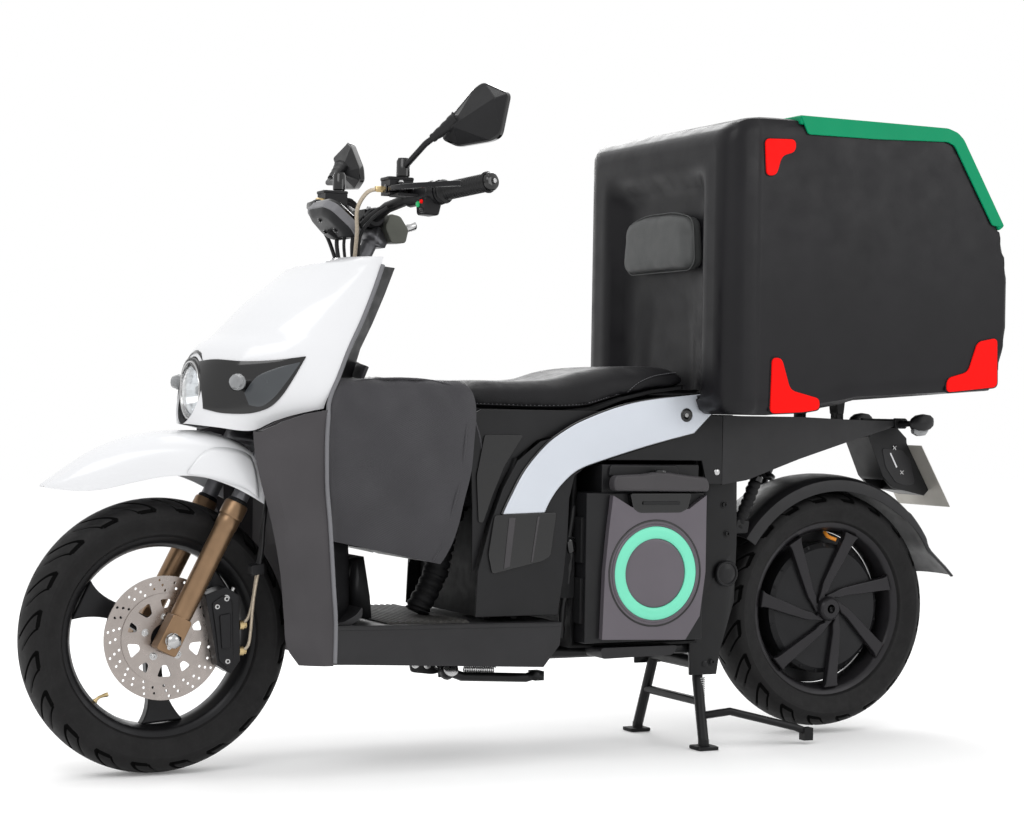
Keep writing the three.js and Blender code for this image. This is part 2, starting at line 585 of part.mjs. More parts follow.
// ---------------------------------------------------------------- frame
const tubeR = 13;
const [pivotY, pivotZ] = PIVOT;
const [standY, standZ] = STAND_PIVOT;
const tubeRuns = [1, -1].flatMap((side) => [
  [[side * 30, -488, 690], [side * 60, -462, 520], [side * 70, -452, 300], [side * 90, -430, 232],
    [side * 90, -60, 228],
    [side * 90, -12, 206], [side * 90, 330, 206]],
  [[side * 90, -74, 228], [side * 112, -96, 540], [side * 112, -60, 625], [side * 112, 60, 634],
    [side * 104, 420, 634],
    [side * 80, 700, 650], [side * 60, 800, 656]],
]);
const frameTubes = (r) => tubeRuns.map((run) => pipe(run, r));
const frameParts = [...frameTubes(tubeR)];
for (const side of [1, -1]) {
  frameParts.push(sidePlate([
    [318, 232], [322, 150], [384, 150], [392, 200], [424, 300], [428, 420], [426, 560], [404, 634],
      [372, 634],
    [366, 560], [346, 540], [340, 300]], side > 0 ? 108 : -116, side > 0 ? 116 : -108));
  frameParts.push(rod([side * 116, pivotY, pivotZ], [side * 124, pivotY, pivotZ], 17, 17, 14));
}
frameParts.push(rod([-118, pivotY, pivotZ], [118, pivotY, pivotZ], 9, 9, 14));
frameParts.push(rod([-118, standY, standZ], [118, standY, standZ], 7, 7, 14));
frameParts.push(rod([-112, -60, 625], [112, -60, 625], 10, 10));
frameParts.push(rod([-110, 345, 634], [110, 345, 634], 10, 10));
frameParts.push(rod([-96, -400, 231], [96, -400, 231], 10, 10));
frameParts.push(rod([-90, -220, 229], [90, -220, 229], 10, 10));
frameParts.push(rod([-66, 772, 654], [66, 772, 654], 9, 9));
frameParts.push(rod([-32, -489, 688], [32, -489, 688], 12, 12));
frameParts.push(rod(steer(455, 0), steer(700, 0), 27, 27, 14));
// shock mount on the right rail
frameParts.push(rod([-84, 646, 650], [-86, SHOCK_HIGH[1], SHOCK_HIGH[2] - 4], 9, 9));
frameParts.push(rod([-82, SHOCK_HIGH[1], SHOCK_HIGH[2]], [-122, SHOCK_HIGH[1], SHOCK_HIGH[2]], 5, 5, 12));
// side stand lug and its pin, tilted so that the stand swings outwards as it goes down
frameParts.push(pipe([[90, -236, 226], [96, -236, 204], [104, -236, 168]], 8));
frameParts.push(rod(standPin(-26), standPin(12), 5, 5, 12));
// rack posts that carry the cargo box
for (const side of [1, -1]) {
  frameParts.push(block(side > 0 ? 88 : -112, side > 0 ? 112 : -88, 400, 416, 634, 685.6));
  frameParts.push(block(side > 0 ? 58 : -82, side > 0 ? 82 : -58, 700, 716, 650, 725));
}
frameParts.push(block(-112, 112, 400, 416, 672, 685.6));
frameParts.push(block(-82, 82, 700, 716, 710, 725));
const steerBore = rod(steer(380, 0), steer(760, 0), STEM_R + 0.4, STEM_R + 0.4, 14);
add('chassis', cut(union(frameParts), [steerBore]), 0x1c1d20, 0.5, 0.5);

const tubeRoom = union(frameTubes(tubeR + GAP));
add('inner_panel', cut(innerSkin.add(footBlock), [cowlSolid(0, 974), tubeRoom]), BLACK, 0.6);
add('floor_deck', cut(sidePlate(deckSide, -DECK_HALF, DECK_HALF), [
  sidePlate(deckRoom, -DECK_HALF + 7, DECK_HALF - 7),
  block(-156, 156, -500, -469, 200, 284),
  tubeRoom,
]), BLACK, 0.7);

// ---------------------------------------------------------------- middle bodywork
const panelTop = [[-196, 288], [-192, 378], [-167, 467], [-141, 536], [-110, 590], [-60, 628], [20, 650],
  [144, 690],
  [286, 720], [318, 716], [334, 685], [358, 684], [359, 545]];
const openBottom = [[322, 545], [310, 592], [60, 592], [16, 560], [6, 519], [3, 436], [-4, 361], [-16, 288]];
const closedBottom = [[345, 400], [338, 236], [10, 236], [-16, 288]];
add('side_panel_left', sidePlate([...panelTop, ...openBottom], SIDE_X - PANEL_T, SIDE_X), 0x232427, 0.5);
add('side_panel_right', sidePlate([...panelTop, ...closedBottom], -SIDE_X, -SIDE_X + PANEL_T), 0x232427, 0.5);

const trimSide = [[-143, 487], [-127, 519], [-96, 572], [-50, 622], [-4, 653], [43, 675], [114, 699],
  [186, 714],
  [302, 727], [328, 689], [286, 648], [188, 624], [82, 594], [21, 573], [-16, 544], [-39, 515], [-52, 490]];
function sideTrim(side) {
  const [a, b] = [SIDE_X + GAP, SIDE_X + GAP + 7];
  return sidePlate(trimSide, side > 0 ? a : -b, side > 0 ? b : -a);
}
add('side_trim_left', sideTrim(1), 0xb9bcc0, 0.35, 0.5);
add('side_trim_right', sideTrim(-1), 0xb9bcc0, 0.35, 0.5);

// cable conduit: bellows down the panel, then an elbow to the deck
const conduitPath = [[50, -199, 494], [50, -201, 480]];
const conduitR = [29, 29];
for (let i = 0; i < 7; i += 1) {
  const [z, y] = [474 - i * 16, -205 - i * 3.6];
  conduitPath.push([50, y, z], [50, y - 1, z - 4], [50, y - 2.4, z - 12]);
  conduitR.push(22, 26, 26);
}
conduitPath.push([50, -234, 356], [50, -246, 330], [50, -262, 304], [50, -268, 290]);
conduitR.push(20, 20, 20, 20);
add('cable_conduit', pipe(conduitPath, conduitR, 10), 0x2d2f33, 0.7);

// ---------------------------------------------------------------- battery and its bay
const B = BATTERY;
const bayGap = 3;
const bayX0 = B.x0 - 9;
const bayOuter = block(bayX0, 150, B.y0 - 12, B.y1 + 12, 220, 600);
const bayInner = block(B.x0 - bayGap - 2, 400, B.y0 - bayGap, B.y1 + bayGap, B.z0 - bayGap, 592);
const frontPanel = sidePlate([[-168, 284.4], [-168, 378], [-160, 467], [-134, 536], [-112, 596],
  [-104, 593], [-126, 534],
  [-152, 465], [-160, 376], [-160, 284.4]], -156, 156);
const webs = [1, -1].map((s) => block(s > 0 ? 144 : -156, s > 0 ? 156 : -144, -160, 24, 320, 440));
add('centre_body', cut(union([cut(bayOuter, [bayInner]), frontPanel, ...webs]), [tubeRoom]), BLACK, 0.6);

const handleZ = 545;
const handleY = [104, 274];
const wheelAt = [-124, 256];
const caseBody = union([
  block(B.x0, B.x1, B.y0, B.y1, B.z0, B.z1),
  block(-60, 176, 72, 296, B.z1 - 2, 584),
]);
const caseCuts = [
  ...handleY.map((y) => rod([-62, y, handleZ], [220, y, handleZ], 6.4, 6.4, 12)),
  block(-160, -96, B.y0 - 1, 74, B.z0 - 1, 288),
  block(-160, -96, 260, B.y1 + 1, B.z0 - 1, 288),
  rod([wheelAt[0], B.y0 - 5, wheelAt[1]], [wheelAt[0], B.y1 + 5, wheelAt[1]], 6.4, 6.4, 14),
];
add('battery_case', cut(caseBody, caseCuts), 0x26282b, 0.5);

const faceSide = [[84, 524], [127, 500], [259, 496], [300, 524], [300, 369], [288, 281], [255, 234],
  [64, 240], [68, 373], [76, 460]];
const facePlate = sidePlate(faceSide, B.x1 + GAP, 202);
const ringGroove = wheelTurn([[94, 220], [94, 196], [68, 196], [68, 220]], [0, ...BATTERY_RING], 40);
const ringSection = [[93.5, 206.5], [93.5, 196.6], [68.5, 196.6], [68.5, 206.5]];
add('battery_face', cut(facePlate, [ringGroove]), 0x4a4f53, 0.4, 0.3);
add('battery_ring', wheelTurn(ringSection, [0, ...BATTERY_RING], 40), 0x3fd9a0, 0.4);

const handleRods = handleY.map((y) => rod([-50, y, handleZ], [196, y, handleZ], 6, 6, 12));
add('battery_handle', union([block(190, 214, 80, 298, 533, 557), ...handleRods]), 0x2b2e31, 0.45);

const roller = (y0, y1, r) => rod([wheelAt[0], y0, wheelAt[1]], [wheelAt[0], y1, wheelAt[1]], r, r, 14);
add('battery_wheels', union([roller(36, 298, 6), roller(38, 68, 22), roller(266, 296, 22)]), 0x3a3c40, 0.8);

// ---------------------------------------------------------------- seat
// rows of y, half width, underside, top
const seatRows = [
  [-206, 62, 706, 726], [-194, 84, 698, 738], [-160, 104, 692, 745], [-80, 122, 690, 746], [0, 136, 690, 752],
  [60, 148, 697, 768], [120, 152, 716, 777], [200, 152, 734, 781], [262, 148, 742, 778],
    [284, 138, 746, 768], [292, 120, 750, 762],
];
function seatRing([y, half, low, top]) {
  const [w, h] = [half, top - low];
  return [[-w, low], [-w, low + h * 0.5], [-w * 0.93, top - h * 0.14], [-w * 0.7, top], [0, top - 3],
    [w * 0.7, top],
    [w * 0.93, top - h * 0.14], [w, low + h * 0.5], [w, low]].map(([x, z]) => [x, y, z]);
}
add('seat', loft(seatRows.map(seatRing)), 0x1b1b1d, 0.7);
const panRows = seatRows.slice(1, -1).map(([y, half, low]) => {
  const w = half - 10;
  return [[-w, low - GAP - 9], [-w, low - GAP], [w, low - GAP],
    [w, low - GAP - 9]].map(([x, z]) => [x, y, z]);
});
const seatHinge = rod([-40, -186, 676], [40, -186, 676], 6, 6, 12);
const panTabs = [-30, 22].map((x) => block(x, x + 8, -192, -180, 672, 690));
add('seat_pan', union([loft(panRows), ...panTabs, seatHinge]), GREY, 0.6);

// ---------------------------------------------------------------- tail
const tailSide = [[362, 684], [362, 543], [424, 552], [560, 596], [711, 632], [830, 658], [872, 668],
  [866, 677], [700, 680],
  [560, 684]];
const tailTaper = [[362, 160], [560, 148], [830, 78], [872, 60]];
const tailPlan = (inset) => [
  ...tailTaper.map(([y, w]) => [w - inset, y]), ...tailTaper.map(([y, w]) => [-(w - inset), y]).reverse()];
const tailBody = sidePlate(tailSide, -170, 170).intersect(planPlate(tailPlan(0), 500, 720));
const tailInside = planPlate([[156, 340], [143, 560], [73, 830], [-73, 830], [-143, 560], [-156, 340]],
  500, 720);
const tailShell = cut(tailBody, [tailInside]).add(tailBody.intersect(block(-170, 170, 820, 900, 500, 720)));
add('tail_panel', cut(tailShell, [tubeRoom]), 0x232427, 0.5);

const plateTilt = [Math.sin(THREE.MathUtils.degToRad(31)), Math.cos(THREE.MathUtils.degToRad(31))];
const platePoint = (down, back) => [906 + down * plateTilt[0] + back * plateTilt[1],
  634 - down * plateTilt[1] + back * plateTilt[0]];
add('number_plate',
  sidePlate([platePoint(14, 4), platePoint(14, 6), platePoint(170, 6), platePoint(170, 4)], -92, 92),
  0xd9dad6, 0.5, 0.2);
const holderSide = [[800, 661], [838, 663.5], [880, 668], [912, 640], platePoint(8, 3.4), platePoint(128,
  3.4), platePoint(132, -14),
  [912, 524], [878, 530], [850, 556], [820, 620]];
const holderRoom = sidePlate([[838, 648], [896, 638], [908, 560], [905, 480], [866, 480], [856, 570]], -38,
  38);
const tailLampBase = block(-64, 64, 868, 893, 662, 682);
add('plate_holder', cut(sidePlate(holderSide, -46, 46).add(tailLampBase), [
  tailBody.translate([0, 0.3, -0.4]), tailBody.translate([0, 0.3, 0.4]), holderRoom, tubeRoom]), BLACK, 0.5);
function rearIndicator(side) {
  return union([rod([side * 66, 880, 672], [side * 112, 890, 668], 6, 6, 10), ball([side * 118, 892, 668],
    15, 12)]);
}
add('indicator_rear_left', rearIndicator(1), 0xd9dde0, 0.2);
add('indicator_rear_right', rearIndicator(-1), 0xd9dde0, 0.2);

// ---------------------------------------------------------------- rear suspension
const armSide = [[392, 392], [470, 408], [560, 392], [660, 322], [728, 306], [746, 280], [738, 250],
  [712, 238], [640, 246],
  [520, 290], [440, 318], [386, 330]];
const arm = union([
  rod([-106, pivotY, pivotZ], [106, pivotY, pivotZ], 22, 22, 14),
  sidePlate(armSide, -98, -70),
  rod([-72, ry, rz], [-53.2, ry, rz], 20, 20, 14),
  rod([-72, ry, rz], [56, ry, rz], 10, 10, 14),
  rod([-90, SHOCK_LOW[1], SHOCK_LOW[2]], [-122, SHOCK_LOW[1], SHOCK_LOW[2]], 5.6, 5.6, 12),
]);
add('swingarm', cut(arm, [rod([-130, pivotY, pivotZ], [130, pivotY, pivotZ], 9.4, 9.4, 14)]), 0x2a2c30,
  0.45, 0.5);

// hugger: U section swept round the rear tyre
const huggerRing = (deg) => {
  const a = THREE.MathUtils.degToRad(deg);
  const flick = deg < 26 ? (26 - deg) * 2.9504 : 0;
  const [c, s] = [Math.cos(a), Math.sin(a)];
  const skirt = read([[12, 272], [40, 268], [75, 256], [150, 254]], deg);
  const section = [[-76, skirt], [-74, 280], [-50, 290], [0, 293], [50, 290], [74, 280], [76, skirt],
    [72, skirt], [69, 277],
    [48, 286], [0, 289], [-48, 286], [-69, 277], [-72, skirt]];
  return section.map(([x, r]) => [x, ry + (r + flick) * c, rz + (r + flick) * s]);
};
const huggerAngles = [12, 20, 28, 36, 48, 60, 75, 90, 105, 120, 135, 146];
const huggerStay = sidePlate([[536, 400], [596, 386], [610, 470], [580, 500]], -80, -75);
add('hugger', cut(loft(huggerAngles.map(huggerRing)).add(huggerStay), [
  sidePlate(armSide, -98.4, -69.6), wheelTurn([[0.1, -74], [TYRE_R + 8, -74], [TYRE_R + 8, 62], [0.1, 62]],
    REAR_AXLE)]), BLACK, 0.6);

// shock absorber: body above, rod below, coil between
const shockAlong = new THREE.Vector3(...SHOCK_HIGH).sub(new THREE.Vector3(...SHOCK_LOW));
const shockLength = shockAlong.length();
const shockAt = (t) => [SHOCK_LOW[0], SHOCK_LOW[1] + (shockAlong.y * t) / shockLength,
  SHOCK_LOW[2] + (shockAlong.z * t) / shockLength];
const eye = (at) => rod([at[0] - 9, at[1], at[2]], [at[0] + 9, at[1], at[2]], 15, 15, 14);
add('shock_body', cut(union([
  rod(shockAt(110), shockAt(238), 15, 15, 14), rod(shockAt(206), shockAt(212), 26, 26, 14),
  rod(shockAt(shockLength - 14), shockAt(shockLength), 10, 10, 12), eye(SHOCK_HIGH)]), [
  rod(shockAt(80), shockAt(200), 7.4, 7.4, 14),
  rod([-140, SHOCK_HIGH[1], SHOCK_HIGH[2]], [-60, SHOCK_HIGH[1], SHOCK_HIGH[2]], 5.4, 5.4, 14)]), GREY,
    0.4, 0.6);
add('shock_rod', cut(union([
  rod(shockAt(0), shockAt(150), 7, 7, 14), rod(shockAt(36), shockAt(42), 26, 26, 14), rod(shockAt(14),
    shockAt(38), 12, 12, 14),
  eye(SHOCK_LOW)]), [
  rod([-140, SHOCK_LOW[1], SHOCK_LOW[2]], [-60, SHOCK_LOW[1], SHOCK_LOW[2]], 7.4, 7.4, 14)]), 0xa8abb0,
    0.25, 0.9);
const coil = [];
const coilTurns = 6;
const coilAxis = shockAlong.clone().normalize();
const coilSide = new THREE.Vector3(1, 0, 0);
const coilUp = new THREE.Vector3().crossVectors(coilAxis, coilSide);
const coilFrom = 46;
const coilTo = 202;
for (let i = 0; i <= coilTurns * 10; i += 1) {
  const t = i / (coilTurns * 10);
  const a = 2 * Math.PI * coilTurns * t;
  const centre = new THREE.Vector3(...SHOCK_LOW).addScaledVector(coilAxis,
    coilFrom + (coilTo - coilFrom) * t);
  centre.addScaledVector(coilSide, 21 * Math.cos(a)).addScaledVector(coilUp, 21 * Math.sin(a));
  coil.push([centre.x, centre.y, centre.z]);
}
add('shock_spring', hose(coil, 3.6, coilTurns * 10, 5), 0x2b2b2e, 0.4, 0.5);

// ---------------------------------------------------------------- stands
const standLegs = [1, -1].map((s) => pipe([
  [s * 88, standY, standZ], [s * 94, 352, 140], [s * 134, 345, 14]], 11, 12));
const standFeet = [1, -1].map((s) => block(s > 0 ? 122 : -158, s > 0 ? 158 : -122, 322, 366, 0, 7));
const footPosts = [1, -1].map((s) => rod([s * 134, 345, 3], [s * 134, 345, 20], 12, 11, 12));
const standLever = pipe([[118, 350, 66], [146, 400, 76], [150, 560, 36], [150, 584, 26]], 8, 10);
const leverTab = block(140, 160, 576, 598, 8, 34);
add('centre_stand', cut(union([
  rod([-98, standY, standZ], [98, standY, standZ], 15, 15, 14), ...standLegs, ...standFeet, ...footPosts,
    standLever, leverTab,
  rod([-110, 349, 94], [110, 349, 94], 9, 9, 12)]), [
  rod([-130, standY, standZ], [130, standY, standZ], 7.5, 7.5, 14)]), BLACK, 0.45, 0.5);

const [ssx, ssy, ssz] = SIDE_STAND_PIVOT;
const sideStand = cut(union([
  rod(standPin(-8), standPin(8), 15, 15, 14), pipe([[ssx, ssy, ssz], [ssx, -206, 171], [ssx, -66, 163],
    [ssx, -44, 168]], 9, 12),
  block(ssx - 14, ssx + 16, -54, -34, 158, 176)]), [
  rod(standPin(-30), standPin(30), 5.4, 5.4, 14)]);
add('side_stand', sideStand, BLACK, 0.45, 0.5);

// ---------------------------------------------------------------- cargo box
const boxSide = [[300, 686], [393, 686], [512, 697], [605, 720], [960, 746], [990, 883], [990, 980],
  [966, 1088], [850, 1270],
  [820, 1284], [376, 1284], [322, 1276], [288, 1250], [282, 1000], [290, 780]];
const boxRoom = [[308, 696], [393, 696], [512, 707], [605, 730], [950, 755], [980, 884], [980, 978],
  [957, 1084], [966, 1110],
  [870, 1400], [460, 1400], [460, 1276], [376, 1275], [326, 1268], [297, 1245], [291, 1000], [299, 780]];
const corner = 34;
const boxPlan = (y0, y1, half, c) => [
  [-half, y0 + c], [-half + c * 0.3, y0 + c * 0.3], [-half + c, y0], [half - c, y0],
    [half - c * 0.3, y0 + c * 0.3], [half, y0 + c],
  [half, y1 - c], [half - c, y1], [-half + c, y1], [-half, y1 - c]];
const boxOuter = sidePlate(boxSide, -BOX_HALF, BOX_HALF).intersect(planPlate(boxPlan(280, 992, BOX_HALF,
  corner + 30), 600, 1400));
const boxInner = sidePlate(boxRoom, -BOX_HALF + BOX_WALL, BOX_HALF - BOX_WALL)
  .intersect(planPlate(boxPlan(290, 984, BOX_HALF - BOX_WALL, corner + 26), 600, 1500));
const scoopAt = (extra) => {
  const points = [];
  for (let i = 0; i <= 12; i += 1) {
    const t = Math.PI * (i / 12);
    points.push([(190 + extra) * Math.cos(t), 262 + (62 + extra) * Math.sin(t)]);
  }
  return planPlate(points, 600, 1190 + extra);
};
const boxTop = sidePlate([[452 - GAP, 1272], [452 - GAP, 1400], [1100, 1400], [1100, 1070], [960, 1083.5],
  [846, 1262], [816, 1272]], -400, 400);
const seatNotch = (extra) => block(-182 - extra, 182 + extra, 200, 338 + extra, 600, 736 + extra);
const boxShell = cut(boxOuter, [scoopAt(0), seatNotch(0), cut(boxInner, [scoopAt(9), seatNotch(9)]), boxTop]);
add('cargo_box', boxShell, BLACK, 0.5);
const lidOuter = sidePlate([[452, 1272.6], [452, 1291], [822, 1291], [858, 1276], [973, 1093],
  [961, 1084.5], [847, 1263], [816.5, 1272.6]], -BOX_HALF, BOX_HALF);
add('cargo_lid', lidOuter, 0x1f8a5b, 0.4);

const padFront = 284;
add('backrest_pad', cut(loft([[padFront, 0.93], [padFront + 8, 1], [padFront + 44, 1]].map(([y, k]) => [
  [-142, -44], [-128, -62], [128, -62], [142, -44], [142, 44], [128, 62], [-128, 62], [-142, 44],
].map(([x, z]) => [x * k, y, 1042 + z * k]))), [boxOuter.subtract(scoopAt(-GAP))]), 0x222325, 0.7);

// ---------------------------------------------------------------- fabric apron hung behind the leg shield
const apronRows = [
  [398, -414, -287, 168], [440, -420, -270, 174], [500, -426, -252, 178], [560, -432, -238, 180],
  [640, -436, -230, 182], [700, -434, -230, 182], [732, -428, -240, 178], [744, -414, -262, 166],
];
const apronSlant = [[398, 0.21], [560, 0.1], [700, 0]];
const apronRing = ([z, front, back, half]) => {
  const edge = read(riderEdge, z);
  const side = [[half - 16, back], [half, back + 16], [half, edge + 10], [half - 12, edge + 14],
    [half - 14, edge + 84], [half - 60, front]];
  const other = side.map(([x, y]) => [-x, y]).reverse();
  return [...side, ...other].map(([x, y]) => [x, y, z + read(apronSlant, z) * (back - y)]);
};
add('apron', loft(apronRows.map(apronRing)), 0x1d1e20, 0.9);

export default scooter;
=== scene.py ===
import math

import bmesh
import bpy
from mathutils import Matrix, Vector
from mathutils.bvhtree import BVHTree


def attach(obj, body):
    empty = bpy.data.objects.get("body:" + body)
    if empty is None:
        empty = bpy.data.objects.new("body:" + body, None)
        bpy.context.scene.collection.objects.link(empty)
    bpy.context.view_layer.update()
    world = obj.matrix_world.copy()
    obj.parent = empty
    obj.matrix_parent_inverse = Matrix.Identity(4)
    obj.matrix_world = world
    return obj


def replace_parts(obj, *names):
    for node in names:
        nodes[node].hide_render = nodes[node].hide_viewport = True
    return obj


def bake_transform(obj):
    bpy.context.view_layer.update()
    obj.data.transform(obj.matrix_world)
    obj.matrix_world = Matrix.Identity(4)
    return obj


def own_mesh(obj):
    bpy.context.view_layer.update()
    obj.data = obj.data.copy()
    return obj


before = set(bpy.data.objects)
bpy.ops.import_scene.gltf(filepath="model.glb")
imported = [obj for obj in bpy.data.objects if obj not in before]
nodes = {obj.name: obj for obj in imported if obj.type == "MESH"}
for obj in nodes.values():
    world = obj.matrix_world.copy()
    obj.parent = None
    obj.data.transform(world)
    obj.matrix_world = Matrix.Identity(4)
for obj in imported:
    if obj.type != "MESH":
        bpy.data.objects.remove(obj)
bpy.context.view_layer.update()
scene = bpy.context.scene

# ------------------------------------------------------------ driving dimensions, millimetres
MM = 0.001
FRONT_AXLE = (0, -782, 257)
REAR_AXLE = (0, 712, 270)
FRONT_TYRE_W = 104
REAR_TYRE_W = 118
DISC_R = 115
RAKE = math.radians(27)
STEER_ORIGIN = (-751, 241)         # y and z of a point on the steering axis
FORK_OFFSET = 35
FORK_X = 85
TREAD_REPEATS = 20                 # of the groove pattern, on each side of a tyre
SWEEP = 0.26                       # how far the tread grooves lean, in radians
HEADLAMP = (0, -706, 716)
RING = (182, 369)
SWINGARM_PIVOT = (400, 358)        # y and z
BOX_HALF = 290
BOX_FRONT, BOX_BACK = 282, 990
BOX_FRONT_ROUND, BOX_BACK_ROUND = 44, 14
CAMERA_AT = (3.943, -2.044, 0.699)           # metres
CAMERA_TURN = (26.934, -0.151, 0.9865)       # yaw, pitch and roll in degrees
CAMERA_LENS = 76.8
SHOCK_LOW = Vector((-110, 545, 372))
SHOCK_HIGH = Vector((-110, 662, 592))
SIDES = (("left", 1), ("right", -1))


def steer(along, ahead, across=0):
    """A point in the steering frame: up the axis, ahead of it, and across."""
    c, s = math.cos(RAKE), math.sin(RAKE)
    return (across, STEER_ORIGIN[0] + along * s - ahead * c, STEER_ORIGIN[1] + along * c + ahead * s)


# ------------------------------------------------------------ materials
def link_noise(tree, coords, scale, detail=3.0, stretch=None, kind="ShaderNodeTexNoise"):
    source = coords.outputs["Object"]
    if stretch:
        mapping = tree.nodes.new("ShaderNodeMapping")
        mapping.inputs["Scale"].default_value = stretch
        tree.links.new(source, mapping.inputs["Vector"])
        source = mapping.outputs["Vector"]
    noise = tree.nodes.new(kind)
    noise.inputs["Scale"].default_value = scale
    if kind == "ShaderNodeTexNoise":
        noise.inputs["Detail"].default_value = detail
    tree.links.new(source, noise.inputs["Vector"])
    return noise


def spread(tree, value, low, high, start=0.3, end=0.7):
    node = tree.nodes.new("ShaderNodeMapRange")
    node.inputs["From Min"].default_value = start
    node.inputs["From Max"].default_value = end
    node.inputs["To Min"].default_value = low
    node.inputs["To Max"].default_value = high
    tree.links.new(value, node.inputs["Value"])
    return node.outputs["Result"]


def add_bump(tree, height, strength, distance, before=None):
    bump = tree.nodes.new("ShaderNodeBump")
    bump.inputs["Strength"].default_value = strength
    bump.inputs["Distance"].default_value = distance
    tree.links.new(height, bump.inputs["Height"])
    if before:
        tree.links.new(before, bump.inputs["Normal"])
    return bump.outputs["Normal"]


def finish(name, colour, rough, metal=0.0, mottle=0.12, mottle_size=14.0, rough_spread=0.06, grain=0.15,
           grain_size=900.0, grain_depth=0.0002, ripple=0.0, coat=0.0, sheen=0.0, brushed=None, weave=0.0,
           pebble=0.0, glow=0.0, dust=0.0, through=0.0, spec=0.3):
    """A procedural surface: mottled colour, uneven gloss and a fine moulded, brushed or woven relief."""
    made = bpy.data.materials.new(name)
    made.use_nodes = True
    tree = made.node_tree
    shader = tree.nodes["Principled BSDF"]
    coords = tree.nodes.new("ShaderNodeTexCoord")
    cloud = link_noise(tree, coords, mottle_size, 4.0)
    mix = tree.nodes.new("ShaderNodeMix")
    mix.data_type = "RGBA"
    tree.links.new(spread(tree, cloud.outputs["Fac"], 0.0, 1.0), mix.inputs["Factor"])
    mix.inputs["A"].default_value = (*[c * (1 - mottle) for c in colour], 1)
    mix.inputs["B"].default_value = (*[min(1.0, c * (1 + mottle)) for c in colour], 1)
    base = mix.outputs["Result"]
    if dust:
        specks = link_noise(tree, coords, 160.0, 6.0)
        dusty = tree.nodes.new("ShaderNodeMix")
        dusty.data_type = "RGBA"
        tree.links.new(spread(tree, specks.outputs["Fac"], 0.0, dust, 0.52, 0.78), dusty.inputs["Factor"])
        tree.links.new(base, dusty.inputs["A"])
        dusty.inputs["B"].default_value = (0.32, 0.30, 0.27, 1)
        base = dusty.outputs["Result"]
    tree.links.new(base, shader.inputs["Base Color"])
    worn = link_noise(tree, coords, mottle_size * 3.3, 5.0)
    tree.links.new(spread(tree, worn.outputs["Fac"], max(0.02, rough - rough_spread), rough + rough_spread),
                   shader.inputs["Roughness"])
    shader.inputs["Metallic"].default_value = metal
    shader.inputs["Specular IOR Level"].default_value = spec
    if coat:
        shader.inputs["Coat Weight"].default_value = coat
        shader.inputs["Coat Roughness"].default_value = 0.06
    if sheen:
        shader.inputs["Sheen Weight"].default_value = sheen
        shader.inputs["Sheen Roughness"].default_value = 0.5
    if glow:
        shader.inputs["Emission Color"].default_value = (*colour, 1)
        shader.inputs["Emission Strength"].default_value = glow
    if through:
        shader.inputs["Transmission Weight"].default_value = through
        shader.inputs["IOR"].default_value = 1.46
    normal = None
    if ripple:
        slow = link_noise(tree, coords, 22.0, 2.0)
        normal = add_bump(tree, slow.outputs["Fac"], ripple, 0.004)
    if brushed:
        streak = link_noise(tree, coords, 60.0, 4.0, stretch=brushed)
        normal = add_bump(tree, streak.outputs["Fac"], 0.12, 0.0004, normal)
    if pebble:
        cells = link_noise(tree, coords, 420.0, kind="ShaderNodeTexVoronoi")
        normal = add_bump(tree, cells.outputs["Distance"], pebble, 0.0006, normal)
    if weave:
        for direction in ((1.0, 0.35, 0.8), (-0.6, 1.0, 0.9)):
            mapping = tree.nodes.new("ShaderNodeMapping")
            mapping.inputs["Scale"].default_value = direction
            tree.links.new(coords.outputs["Object"], mapping.inputs["Vector"])
            wave = tree.nodes.new("ShaderNodeTexWave")
            wave.bands_direction = "DIAGONAL"
            wave.inputs["Scale"].default_value = 230.0
            tree.links.new(mapping.outputs["Vector"], wave.inputs["Vector"])
            normal = add_bump(tree, wave.outputs["Fac"], weave, 0.0004, normal)
    if grain:
        fine = link_noise(tree, coords, grain_size, 3.0)
        normal = add_bump(tree, fine.outputs["Fac"], grain, grain_depth, normal)
    if normal:
        tree.links.new(normal, shader.inputs["Normal"])
    return made


WHITE = finish("white_gloss", (0.66, 0.665, 0.68), 0.24, mottle=0.012, mottle_size=5, rough_spread=0.03,
               grain=0.05, coat=0.5)
SATIN = finish("black_satin", (0.008, 0.008, 0.0088), 0.40, mottle=0.16, grain=0.22, grain_size=1100,
               spec=0.24)
SHIELD = finish("shield_moulded", (0.046, 0.043, 0.046), 0.44, mottle=0.12, mottle_size=7, grain=0.3,
                grain_size=800, spec=0.26)
PANEL = finish("dark_moulded", (0.0132, 0.0129, 0.0142), 0.43, mottle=0.14, grain=0.3, grain_size=900)
MATT = finish("black_matt", (0.006, 0.006, 0.0066), 0.62, mottle=0.2, grain=0.35, grain_size=700, spec=0.2)
BOX = finish("box_moulded", (0.0070, 0.0067, 0.0080), 0.37, mottle=0.14, mottle_size=6, rough_spread=0.08,
             grain=0.3, grain_size=600, ripple=0.06, spec=0.2)
GLOSS = finish("black_gloss", (0.0036, 0.0036, 0.0039), 0.12, mottle=0.1, grain=0.03, coat=0.5)
SMOKE = finish("smoked_facet", (0.045, 0.05, 0.055), 0.22, mottle=0.1, mottle_size=20, grain=0.06, coat=0.4)
SILVER = finish("silver_satin", (0.54, 0.57, 0.62), 0.36, metal=0.35, mottle=0.03, mottle_size=6,
                grain=0.12, grain_size=1400)
# Pale grey: the leg-shield edge strips, and on the display's band a painted highlight.
GREY_EDGE_AND_HIGHLIGHT = finish("grey_edge_and_painted_highlight", (0.144, 0.144, 0.154), 0.4, mottle=0.06, grain=0.2)
BRONZE = finish("bronze_anodised", (0.235, 0.150, 0.088), 0.34, metal=0.85, mottle=0.09, mottle_size=30,
                grain=0.12, brushed=(30, 4, 4))
